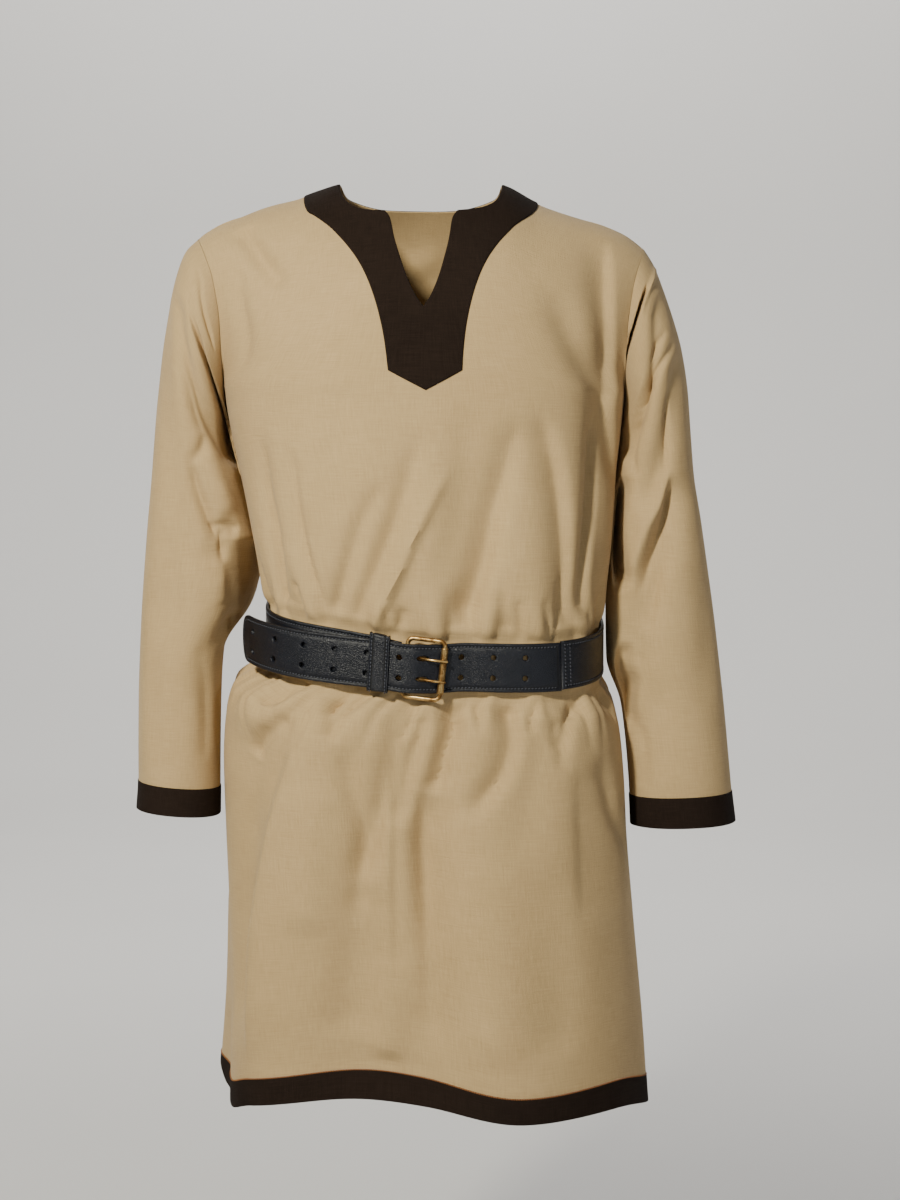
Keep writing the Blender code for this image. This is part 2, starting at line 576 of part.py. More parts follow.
def inside(points, outline):
    """Which points lie inside a closed outline."""
    a = np.asarray(outline)
    b = np.roll(a, -1, axis=0)
    x, y = points[:, 0:1], points[:, 1:2]
    crosses = (a[:, 1] > y) != (b[:, 1] > y)
    rise = np.where(b[:, 1] == a[:, 1], 1.0, b[:, 1] - a[:, 1])
    at_x = a[:, 0] + (y - a[:, 1]) / rise * (b[:, 0] - a[:, 0])
    return np.sum(crosses & (x < at_x), axis=1) % 2 == 1


def distance_to(points, outline):
    a = np.asarray(outline)
    run = np.roll(a, -1, axis=0) - a
    offset = points[:, None] - a
    share = np.clip(np.sum(offset * run, axis=2) / np.maximum(np.sum(run * run, axis=1), 1e-12), 0, 1)
    return np.min(np.linalg.norm(offset - share[..., None] * run, axis=2), axis=1)


def triangulate(outline, holes, lines, lattice, keep_off):
    """Triangles of a flat region: its points, and their corners turned the same way."""
    loops = [outline, *holes, *lines]
    lattice = np.asarray(lattice, float).reshape(-1, 2)
    if len(lattice):
        clear = inside(lattice, outline)
        for loop in loops:
            clear &= distance_to(lattice, loop) > keep_off
        lattice = lattice[clear]
    points, edges = [], []
    for loop in loops:
        first = len(points)
        points.extend(loop)
        edges.extend((first + i, first + (i + 1) % len(loop)) for i in range(len(loop)))
    points.extend(lattice)
    found = delaunay_2d_cdt([Vector(point) for point in points], edges, [], 0, 1e-7)
    flat = np.array([tuple(point) for point in found[0]])
    triangles = np.array(found[2])
    middles = flat[triangles].mean(axis=1)
    kept = inside(middles, outline)
    for hole in holes:
        kept &= ~inside(middles, hole)
    triangles = triangles[kept]
    corner = flat[triangles]
    one, two = corner[:, 1] - corner[:, 0], corner[:, 2] - corner[:, 0]
    turned = one[:, 0] * two[:, 1] - one[:, 1] * two[:, 0] < 0
    triangles[turned] = triangles[turned][:, ::-1]
    return flat, triangles


def region_wall(name, flat, triangles, outer, inner, finish, flipped=False):
    """Closed wall over triangles of a flat region, between its outer and inner points."""
    used = np.unique(triangles)
    number = {old: new for new, old in enumerate(used)}
    count = len(used)
    top = [[number[i] for i in triangle] for triangle in triangles]
    if flipped:
        top = [triangle[::-1] for triangle in top]
    sides = {(a, b) for t in top for a, b in zip(t, t[1:] + t[:1])}
    rims = [(b, a, a + count, b + count) for a, b in sides if (b, a) not in sides]
    faces = top + [[i + count for i in reversed(t)] for t in top] + sorted(rims)
    p, q = flat[used, 0], flat[used, 1]
    return add_piece(name, np.concatenate([outer(p, q), inner(p, q)]), faces, finish)


def seen_at(x, z, face):
    """Place on the cloth of the point that is seen at x and z; with no z it is on the shoulder line."""
    if z is None:
        left, right = section("left", 0), section("right", 0)
        return np.array([(x - (left + right) / 2) / (right - left) * 2 * HALF_GIRTH, CAP_TOP])
    place = np.array([x / 0.22, cap_up(np.clip(1 - (shoulder_z(x) - z) / -ARMPIT, 0, 1))])
    for _ in range(20):
        here = body_base(place[0], place[1], face)[[0, 2]]
        by_p, by_q = slopes(lambda a, b: body_base(a, b, face), place[0], place[1], HEM, CAP_TOP)
        change = np.stack([by_p[[0, 2]], by_q[[0, 2]]], axis=1) / (2 * SURFACE_STEP)
        place = place + np.linalg.solve(change, np.array([x, z]) - here)
        place[1] = min(place[1], CAP_TOP - SURFACE_STEP)
    return place * (HALF_GIRTH, 1)


def mirrored(half, face):
    """Both halves of a neck line, from the right shoulder round to the left one."""
    seen = []
    for side, rows in ((1, half), (-1, reversed(half[:-1]))):
        for row in rows:
            point = dict(zip(NECK_COLUMNS, row))
            middle = NECK_AXIS + NECK_AXIS_LEAN * (point["z"] or 0)
            seen.append(tuple(seen_at(middle + side * point["x"], point["z"], face)))
    return seen


def panel_rows():
    """Heights of the lattice rows, each with its number of columns."""
    cap = np.linspace(ARMPIT, CAP_TOP, CAP_STEPS + 1)[:-1]
    plain = [(up, PLAIN_COLUMNS) for up in (*SKIRT_LEVELS, *CHEST_LEVELS, *cap)]
    return sorted(plain + [(up, WAIST_COLUMNS) for up in WAIST_LEVELS])


def panel_columns(count):
    return np.linspace(-1, 1, count + 1)


def panel(face, tan, brown):
    """The front or the back, and the part of the neck facing that lies on it."""
    name = "front" if face == FRONT else "back"
    neck, edge = mirrored(NECK[face], face), mirrored(FACING_EDGE[face], face)
    side_ups = [up for up, _ in panel_rows() if up < ARMPIT]
    turns = np.linspace(0, 2, AROUND // 2 + 1)
    armhole_ups = cap_up((1 + np.cos(turns * math.pi / 2)) / 2)
    shoulder = np.linspace(HALF_GIRTH, edge[0][0], SHOULDER_STEPS)[1:-1]
    shoulder_left = np.linspace(-HALF_GIRTH, edge[-1][0], SHOULDER_STEPS)[1:-1]
    outline = [(x * HALF_GIRTH, BAND_TOP) for x in panel_columns(PLAIN_COLUMNS)]
    outline += [(HALF_GIRTH, up) for up in (*side_ups, *armhole_ups[::-1])]
    outline += [(x, CAP_TOP) for x in shoulder] + [edge[0]] + neck + [edge[-1]]
    outline += [(x, CAP_TOP) for x in shoulder_left[::-1]]
    outline += [(-HALF_GIRTH, up) for up in (*armhole_ups, *side_ups[::-1])]
    facing_outline = edge + neck[::-1]
    lattice = [(x * HALF_GIRTH, up) for up, count in panel_rows() for x in panel_columns(count)[1:-1]]
    flat, triangles = triangulate(outline, [], [facing_outline], lattice, KEEP_OFF)

    def wall(out):
        return lambda p, q: body_wall(p / HALF_GIRTH, q, face, out)

    flipped = face == BACK
    region_wall(name, flat, triangles, wall(0), wall(-CLOTH), tan, flipped)
    on_facing = inside(flat[triangles].mean(axis=1), facing_outline)
    low, high = wall(FACING_GAP), wall(FACING_GAP + FACING)
    region_wall(f"neck_facing_{name}", flat, triangles[on_facing], high, low, brown, flipped)


def hem_band(face, brown):
    """Band along the lower edge of the front or the back."""
    ups = np.array([BAND_TOP - SEAM, (BAND_TOP + HEM) / 2, HEM])
    across = panel_columns(PLAIN_COLUMNS)[::face]
    up_grid, across_grid = np.meshgrid(ups, across, indexing="ij")
    outer = body_wall(across_grid, up_grid, face, BAND_PROUD)
    inner = body_wall(across_grid, up_grid, face, -CLOTH)
    grid_wall("hem_band_front" if face == FRONT else "hem_band_back", outer, inner, False, brown)


def sleeve(name, tan, brown):
    """A sleeve and the band of its cuff."""
    turns = np.arange(AROUND) * 4 / AROUND
    turns = turns if SIDE[name] > 0 else turns[::-1]
    seam_share = SEAM / ROW_LENGTH
    cuff_rows = (SLEEVE_END + seam_share, (SLEEVE_END + CUFF_END) / 2, CUFF_END)
    for piece, rows, proud, finish in (
        (name, SLEEVE_ROWS, 0, tan),
        (name.replace("sleeve", "cuff_band"), cuff_rows, BAND_PROUD, brown),
    ):
        row_grid, turn_grid = np.meshgrid(np.array(rows, float), turns, indexing="ij")
        outer = sleeve_wall(name, row_grid, turn_grid, proud)
        inner = sleeve_wall(name, row_grid, turn_grid, -CLOTH)
        grid_wall(piece, outer, inner, True, finish)


def waist_path():
    """Closed line of the cloth under the middle of the belt, with its distance from the buckle."""
    across = np.linspace(-1, 1, WAIST_STEPS + 1)
    up = np.full(len(across), WAIST)
    loop = np.concatenate([body_base(across, up, FRONT), body_base(across[::-1], up, BACK)[1:-1]])
    start = int(np.argmin(np.abs(loop[: len(across), 0])))
    loop = np.roll(loop, -start, axis=0)
    closed = np.concatenate([loop, loop[:1]])
    steps = np.linalg.norm(np.diff(closed, axis=0), axis=1)
    return closed, np.concatenate([[0], np.cumsum(steps)])


WAIST_LOOP, WAIST_RUN = waist_path()
BELT_LOOP = float(WAIST_RUN[-1])


def waist_at(along):
    wrapped = np.mod(along, BELT_LOOP)
    return np.stack([np.interp(wrapped, WAIST_RUN, WAIST_LOOP[:, k]) for k in range(3)], axis=-1)


def belt_place(along, across, out):
    """Point of the belt's frame: metres from the buckle, up the strap, and out from the cloth."""
    ahead, behind = waist_at(along + BELT_SMOOTH), waist_at(along - BELT_SMOOTH)
    tangent = unit(ahead - behind)
    outward = unit(np.cross(tangent, (0, 0, 1)))
    upward = np.cross(outward, tangent)
    smooth = (behind + 6 * waist_at(along) + ahead) / 8
    return smooth + outward * (BELT_GAP + out)[..., None] + upward * across[..., None]


def strap_lift(along):
    return curve(STRAP_LIFTS, LIFT_COLUMNS, "along", "out", along)


def tongue_lift(along):
    return curve(TONGUE_LIFTS, LIFT_COLUMNS, "along", "out", along)


def strap_rise(along):
    return curve(STRAP_RISES, RISE_COLUMNS, "along", "up", along)


def tongue_rise(along):
    return curve(TONGUE_RISES, RISE_COLUMNS, "along", "up", along)


def ellipse(centre, radii, sides):
    angles = (np.arange(sides) + 0.5) * 2 * math.pi / sides
    return [(centre[0] + radii[0] * math.cos(a), centre[1] + radii[1] * math.sin(a)) for a in angles]


def strap_outline(start_shape, end_shape):
    """Outline of a flat strap between the shapes of its ends, with a point every STRAP_STEP."""
    start, end = start_shape[-1][0], end_shape[0][0]
    run = np.linspace(start, end, round((end - start) / STRAP_STEP) + 1)[1:-1]
    half = BELT_WIDTH / 2
    return start_shape + [(x, -half) for x in run] + end_shape + [(x, half) for x in run[::-1]]


def strap_wall(name, outline, holes, lift, rise, finish):
    runs = np.unique([round(point[0], 6) for point in outline])
    lattice = [(run, 0.0) for run in runs]
    flat, triangles = triangulate(outline, holes, [], lattice, STRAP_KEEP_OFF)
    region_wall(
        name, flat, triangles,
        lambda p, q: belt_place(p, q + rise(p), lift(p) + LEATHER),
        lambda p, q: belt_place(p, q + rise(p), lift(p)),
        finish,
    )


def belt_straps(leather):
    """The strap round the back, and the pierced tongue that goes through the buckle and keeper."""
    half = BELT_WIDTH / 2
    notches = []
    for row in (-HOLE_ROW, HOLE_ROW):
        low, high, deep = row - NOTCH_HALF, row + NOTCH_HALF, STRAP_END - NOTCH_DEPTH
        notches += [(STRAP_END, low), (deep, low), (deep, high), (STRAP_END, high)]
    strap_start = BELT_JOIN - BELT_LOOP + SEAM
    start = [(strap_start, half), (strap_start, -half)]
    end = [(STRAP_END, -half), *notches, (STRAP_END, half)]
    outline = strap_outline(start, end)
    strap_wall("belt_strap", outline, [], strap_lift, strap_rise, leather)

    holes = []
    for row in (-HOLE_ROW, HOLE_ROW):
        for direction, (first, count) in ((-1, FIRST_HOLES["left"]), (1, FIRST_HOLES["right"])):
            for number in range(count):
                centre = (first + direction * number * HOLE_PITCH, row)
                holes.append(ellipse(centre, (HOLE_RADIUS, HOLE_RADIUS), HOLE_SIDES))
        middle, reach = (SLOT_FROM + SLOT_TO) / 2, (SLOT_TO - SLOT_FROM) / 2
        holes.append(ellipse((middle, row), (reach, SLOT_HALF), SLOT_SIDES))
    shoulder, rounded = TONGUE_TIP + TIP_LENGTH, TONGUE_TIP + TIP_ROUND
    start = [(shoulder, half), (rounded, half * TIP_SHARE), (TONGUE_TIP, 0.0)]
    start += [(rounded, -half * TIP_SHARE), (shoulder, -half)]
    end = [(BELT_JOIN, -half), (BELT_JOIN, half)]
    strap_wall("belt_tongue", strap_outline(start, end), holes, tongue_lift, tongue_rise, leather)


def belt_keeper(leather):
    """Loop of leather round both straps, as a tube whose rows run along the belt."""
    run = np.linspace(KEEPER_FROM, KEEPER_TO, 4)

    def ring(along, grow):
        low = strap_lift(along) - KEEPER_GAP - grow
        high = tongue_lift(along) + LEATHER + KEEPER_GAP + grow
        half, cut = KEEPER_HALF + grow, KEEPER_CHAMFER
        top, foot = float(strap_rise(along)) + half, float(tongue_rise(along)) - half
        corners = [
            (top, low + cut), (top, high - cut), (top - cut, high), (foot + cut, high),
            (foot, high - cut), (foot, low + cut), (foot + cut, low), (top - cut, low),
        ]
        return [belt_place(np.array(along), np.array(y), np.array(z)) for y, z in corners]

    outer = np.array([ring(along, KEEPER_WALL) for along in run])
    inner = np.array([ring(along, 0) for along in run])
    grid_wall("belt_keeper", outer, inner, True, leather)


def buckle_place(points):
    """Points of the buckle's own flat frame, turned a little and set on the belt."""
    points = np.asarray(points, float)
    along, across = points[..., 0] - BUCKLE_MIDDLE, points[..., 1]
    c, s = math.cos(BUCKLE_TILT), math.sin(BUCKLE_TILT)
    return belt_place(BUCKLE_MIDDLE + along * c - across * s, along * s + across * c, points[..., 2])


def wire(name, path, radius, sides, closed, finish):
    """Round wire along a path in the buckle's frame."""
    path = np.asarray(path, float)
    ahead = np.roll(path, -1, axis=0) - path
    behind = path - np.roll(path, 1, axis=0)
    if not closed:
        ahead[-1], behind[0] = behind[-1], ahead[0]
    tangent = unit(unit(ahead) + unit(behind))
    flat = np.ptp(path[:, 1]) < 1e-9
    side = np.tile((0.0, 1.0, 0.0) if flat else (0.0, 0.0, 1.0), (len(path), 1))
    side = unit(side - np.sum(side * tangent, axis=1, keepdims=True) * tangent)
    other = np.cross(tangent, side)
    angles = np.arange(sides) * 2 * math.pi / sides
    ring = np.cos(angles)[None, :, None] * side[:, None] + np.sin(angles)[None, :, None] * other[:, None]
    points = buckle_place(path[:, None] + radius * ring)
    count = len(path)
    faces = []
    for i in range(count if closed else count - 1):
        for k in range(sides):
            a, b = i * sides + k, i * sides + (k + 1) % sides
            c, d = (i + 1) % count * sides + (k + 1) % sides, (i + 1) % count * sides + k
            faces.append((a, b, c, d))
    if not closed:
        faces.append(tuple(range(sides - 1, -1, -1)))
        faces.append(tuple((count - 1) * sides + k for k in range(sides)))
    return add_piece(name, points.reshape(-1, 3), faces, finish)


def buckle(brass):
    """Frame, roller and two prongs of the buckle."""
    def at_out(along):
        share = (along - PIVOT_ALONG) / (ROLLER_ALONG - PIVOT_ALONG)
        return PIVOT_OUT + share * (ROLLER_OUT - PIVOT_OUT)

    path = []
    inset_along, inset_across = ROLLER_ALONG - RAIL_CORNER, RAIL - RAIL_CORNER
    pivot_inset = PIVOT_ALONG + RAIL_CORNER
    corners = ((inset_along, inset_across, 0), (pivot_inset, inset_across, 1),
               (pivot_inset, -inset_across, 2), (inset_along, -inset_across, 3))
    for along, across, quarter in corners:
        for angle in np.linspace(quarter, quarter + 1, 4) * math.pi / 2:
            x = along + RAIL_CORNER * math.cos(angle)
            path.append((x, across + RAIL_CORNER * math.sin(angle), at_out(x)))
    wire("buckle_frame", path, WIRE, 8, True, brass)

    angles = np.arange(10) * 2 * math.pi / 10
    rows = []
    for radius in (ROLLER_OUTSIDE, ROLLER_INSIDE):
        x, z = ROLLER_ALONG + radius * np.cos(angles), ROLLER_OUT + radius * np.sin(angles)
        ends = [np.stack([x, np.full(10, y), z], axis=1) for y in (ROLLER_LENGTH / 2, -ROLLER_LENGTH / 2)]
        rows.append(buckle_place(np.array(ends)))
    grid_wall("buckle_roller", rows[0], rows[1], True, brass)

    loop = [
        (PIVOT_ALONG + PRONG_LOOP * math.cos(a), PIVOT_OUT + PRONG_LOOP * math.sin(a))
        for a in np.radians(np.linspace(-200, -20, 7))
    ]
    points = [dict(zip(PRONG_COLUMNS, row)) for row in (*loop, *PRONG_PATH)]
    for name, row in (("buckle_prong_upper", HOLE_ROW), ("buckle_prong_lower", -HOLE_ROW)):
        wire(name, [(point["along"], row, point["out"]) for point in points], PRONG, 6, False, brass)


def finish_material(name):
    colour, roughness, metallic = FINISHES[name]
    material = bpy.data.materials.new(name)
    material.use_nodes = True
    shader = material.node_tree.nodes["Principled BSDF"]
    shader.inputs["Base Color"].default_value = (*colour, 1)
    shader.inputs["Roughness"].default_value = roughness
    shader.inputs["Metallic"].default_value = metallic
    return material


def main():
    for piece in list(bpy.data.objects):
        bpy.data.objects.remove(piece, do_unlink=True)
    tan, brown, leather, brass = (finish_material(name) for name in FINISHES)
    for face in (FRONT, BACK):
        panel(face, tan, brown)
        hem_band(face, brown)
    for name in SLEEVES:
        sleeve(name, tan, brown)
    belt_straps(leather)
    belt_keeper(leather)
    buckle(brass)


main()
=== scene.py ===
"""Cloth, leather and brass of a belted long-sleeve tunic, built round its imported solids.

Metres, +Z up, the front of the tunic faces -Y. The cloth follows the same surfaces as the solids: the
body by its place across and up the cloth, a sleeve by its row and its quarter turns round. Creases lie
along short paths on those surfaces, and the belt has its own frame along the waist.
"""

import math

import bpy
import numpy as np
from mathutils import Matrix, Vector
from mathutils.geometry import delaunay_2d_cdt
from mathutils.kdtree import KDTree

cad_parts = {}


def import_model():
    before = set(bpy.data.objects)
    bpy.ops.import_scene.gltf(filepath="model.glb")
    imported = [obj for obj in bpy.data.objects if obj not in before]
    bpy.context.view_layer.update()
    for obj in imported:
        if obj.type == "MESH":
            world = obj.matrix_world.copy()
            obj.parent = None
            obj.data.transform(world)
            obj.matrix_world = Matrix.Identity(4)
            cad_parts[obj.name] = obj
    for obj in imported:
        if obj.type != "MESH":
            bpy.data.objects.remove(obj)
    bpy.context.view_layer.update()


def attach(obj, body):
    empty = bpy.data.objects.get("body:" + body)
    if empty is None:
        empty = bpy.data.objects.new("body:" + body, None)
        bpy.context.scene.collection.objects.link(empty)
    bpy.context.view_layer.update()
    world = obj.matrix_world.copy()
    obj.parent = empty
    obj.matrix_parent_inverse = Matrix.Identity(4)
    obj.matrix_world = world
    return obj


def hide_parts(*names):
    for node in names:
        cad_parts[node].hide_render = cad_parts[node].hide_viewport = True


MM = 0.001

# Camera of the photograph, whose pixels place the creases that it shows
IMAGE_WIDTH, IMAGE_HEIGHT = 900, 1200
CAMERA_X, CAMERA_Y, CAMERA_Z = 0.031, -2.700, -0.246
FOCAL_PIXELS = 2538.0
TILT = math.atan(180 / FOCAL_PIXELS)
SENSOR = 36.0

# Walls and seams
CLOTH = 0.0016
SEAM = 0.0004
BAND_PROUD, BAND_ROUND = 0.0007, 0.0010
FACING_GAP, FACING, FACING_ROUND = 0.0003, 0.0013, 0.0013
FRONT, BACK = -1, 1
FACE_NAMES = {FRONT: "front", BACK: "back"}

# Heights of the body, as levels below the shoulder points at the neck
ARMPIT = -0.218
WAIST = -0.4805
HEM = -0.955
BAND_TOP = HEM + 0.030
HEM_DIP, HEM_DIP_TOP = 0.012, -0.56

# How much lower than level the hem hangs, along the front's width and at the two ends of the back
DROP_COLUMNS = ("across", "down")
HEM_DROPS = {
    FRONT: (
        (-1.0, 0.01), (-0.9, 0.015), (-0.8, 0.02), (-0.61, 0.01), (-0.24, -0.006), (-0.04, -0.002),
        (0.24, 0.011), (0.6, 0.004), (0.9, 0.008), (1.0, 0.008),
    ),
    BACK: ((-1.0, 0.01), (1.0, 0.008)),
}
DROP_FROM, DROP_TO = -0.68, -0.925
HALF_GIRTH = 0.25

# Above the armpit the cloth turns back over the shoulders
SHOULDER_Y = 0.004
CAP = 0.3
CAP_TOP = ARMPIT + CAP
CHEST_TURN = 2.2
ARMHOLE_REACH = {FRONT: 0.058, BACK: 0.068}
ARMHOLE_ROUND, ARMHOLE_POWER = 0.85, 16
YOKE_POWER = 2.6
ARMHOLE_SOFT = (ARMPIT - 0.045, ARMPIT + 0.105)

# One row for each section of the body, from the hem to the shoulder line
BODY_COLUMNS = ("level", "left", "right", "front", "back", "corner", "round")
BODY_SECTIONS = (
    (-0.955, -0.205, 0.244, -0.136, 0.156, 2.5, 1.0),
    (-0.87, -0.2045, 0.2385, -0.139, 0.152, 2.5, 1.0),
    (-0.761, -0.2065, 0.228, -0.141, 0.148, 2.6, 1.0),
    (-0.685, -0.2085, 0.221, -0.141, 0.144, 2.7, 1.0),
    (-0.609, -0.21, 0.216, -0.14, 0.138, 2.8, 1.0),
    (-0.561, -0.207, 0.211, -0.1385, 0.132, 2.9, 1.0),
    (-0.534, -0.199, 0.204, -0.135, 0.124, 3.0, 1.0),
    (-0.518, -0.177, 0.193, -0.128, 0.113, 3.1, 1.0),
    (-0.508, -0.157, 0.187, -0.1235, 0.1065, 3.1, 1.0),
    (-0.443, -0.157, 0.187, -0.1235, 0.1065, 3.1, 1.0),
    (-0.432, -0.163, 0.191, -0.1315, 0.1135, 3.1, 1.0),
    (-0.41, -0.169, 0.196, -0.138, 0.12, 3.0, 1.0),
    (-0.384, -0.175, 0.201, -0.14, 0.123, 2.9, 1.0),
    (-0.338, -0.184, 0.205, -0.14, 0.126, 2.7, 1.0),
    (-0.299, -0.192, 0.207, -0.139, 0.1285, 2.6, 1.0),
    (-0.251, -0.202, 0.212, -0.137, 0.13, 2.5, 1.0),
    (-0.218, -0.206, 0.2145, -0.136, 0.131, 2.4, 1.0),
    (-0.18, -0.207, 0.214, -0.136, 0.131, 2.4, 0.7),
    (-0.135, -0.208, 0.2148, -0.136, 0.131, 2.4, 0.35),
    (-0.0763, -0.2145, 0.22, -0.136, 0.131, 2.4, 0.1),
    (-0.0262, -0.2265, 0.229, -0.136, 0.131, 2.4, 0.0),
    (0.0, -0.234, 0.235, -0.136, 0.131, 2.4, 0.0),
)

# How far each section leans: metres of height for each metre across, and for each metre back
LEAN_COLUMNS = ("level", "across", "back")
LEANS = (
    (-0.955, -0.02, 0.0), (-0.65, -0.02, 0.02), (-0.53, -0.045, 0.12), (-0.508, -0.045, 0.14),
    (-0.453, -0.045, 0.14), (-0.43, -0.045, 0.12), (-0.33, -0.02, 0.02), (-0.218, -0.018, 0.0),
    (0.0, -0.018, 0.0),
)

# The shoulder line seen from the front
SHOULDER_COLUMNS = ("x", "z")
SHOULDER_LINE = (
    (-0.24, -0.061), (-0.2257, -0.049), (-0.2096, -0.0405), (-0.189, -0.0323), (-0.1568, -0.0208),
    (-0.1261, -0.0125), (-0.085, 0.0), (0.0, 0.012), (0.085, 0.0), (0.12, -0.017), (0.1492, -0.028),
    (0.1714, -0.0353), (0.1925, -0.0418), (0.2144, -0.0512), (0.24, -0.07),
)

# Largest folds of the body: ends as shares across and levels, half width, and height at each end
FOLD_COLUMNS = ("across_top", "level_top", "across_low", "level_low", "half_width", "at_top", "at_low")
FOLDS = {
    FRONT: (
        (-0.5, -0.56, -0.52, -0.96, 0.06, 0.004, 0.006),
        (-0.1, -0.56, -0.16, -0.96, 0.062, -0.004, -0.032),
        (0.18, -0.56, 0.2, -0.96, 0.058, 0.004, 0.02),
        (0.62, -0.56, 0.66, -0.96, 0.05, -0.002, -0.007),
        (0.1, -0.525, -0.02, -0.78, 0.014, -0.008, -0.003),
        (-0.4, -0.525, -0.5, -0.66, 0.014, -0.008, -0.002),
        (0.38, -0.525, 0.28, -0.68, 0.014, -0.006, -0.002),
        (-0.02, -0.3, -0.16, -0.44, 0.02, -0.002, -0.006),
        (0.3, -0.26, 0.1, -0.44, 0.024, -0.002, -0.008),
        (0.6, -0.11, 0.66, -0.43, 0.024, -0.008, -0.006),
        (-0.6, -0.3, -0.56, -0.44, 0.018, -0.002, -0.005),
    ),
    BACK: (
        (-0.84, -0.74, -0.8, -0.96, 0.04, 0.004, 0.026),
        (-0.45, -0.56, -0.46, -0.96, 0.055, -0.004, -0.02),
        (0.0, -0.56, 0.02, -0.96, 0.06, 0.004, 0.014),
        (0.46, -0.56, 0.5, -0.96, 0.055, -0.004, -0.02),
        (0.3, -0.525, 0.24, -0.72, 0.014, -0.006, -0.002),
        (-0.24, -0.525, -0.18, -0.7, 0.014, -0.006, -0.002),
        (-0.34, -0.2, -0.28, -0.44, 0.024, -0.004, -0.006),
        (0.34, -0.2, 0.28, -0.44, 0.024, -0.004, -0.006),
        (0.0, -0.26, 0.04, -0.44, 0.02, -0.002, -0.005),
    ),
}
FOLD_FADE = 0.12

# Gathers that the belt draws in, on each half of the body
GATHERS, GATHER_DEPTH = 10, 0.0028
GATHER_SWAY, SWAY_WAVES = 0.03, 7
GATHER_FALL, GATHER_BOUNCE, BOUNCE_WAVES = 2.5, 0.7, 4
GATHER_SPREAD = {"above": 0.075, "below": 0.06}

# The belt holds the cloth flat, above it the cloth swells out, and heights die out at the side seams
BELT_HOLD = {"above": (0.0, 0.014), "below": (0.027, 0.04)}
FLAT_TOP = -0.443
SWELL_IN, SWELL_OUT = (WAIST + 0.004, WAIST + 0.022), (WAIST + 0.045, WAIST + 0.11)
BELT_CLEAR = 0.0015
SEAM_HOLD = 12

# Levels of the belt's upper edge at shares across, and creases, for each face: main fills both
BELT_TOPS, BODY_CREASES = {}, {}

# Neck opening and facing, as right halves seen from the front and from the back
NECK_AXIS, NECK_AXIS_LEAN = 0.0005, -0.028
NECK_COLUMNS = ("x", "z", "corner")
NECK = {
    FRONT: (
        (0.085, None, True), (0.0835, -0.008, False), (0.08, -0.0165, False),
        (0.074, -0.0235, False), (0.064, -0.0285, False), (0.05, -0.031, False),
        (0.0372, -0.032, True), (0.0318, -0.04, False), (0.027, -0.064, False),
        (0.018, -0.095, False), (0.0085, -0.118, False), (0.0, -0.131, True),
    ),
    BACK: (
        (0.085, None, True), (0.081, -0.008, False), (0.07, -0.014, False),
        (0.048, -0.019, False), (0.024, -0.021, False), (0.0, -0.0215, False),
    ),
}
FACING_EDGE = {
    FRONT: (
        (0.123, None, True), (0.12, -0.027, False), (0.109, -0.0375, False),
        (0.09, -0.053, False), (0.077, -0.0675, False), (0.067, -0.0815, False),
        (0.059, -0.0965, False), (0.0515, -0.116, False), (0.045, -0.14, False),
        (0.0405, -0.165, False), (0.0375, -0.196, True), (0.0, -0.216, True),
    ),
    BACK: (
        (0.123, None, True), (0.118, -0.03, False), (0.102, -0.043, False),
        (0.076, -0.053, False), (0.04, -0.059, False), (0.0, -0.0605, False),
    ),
}

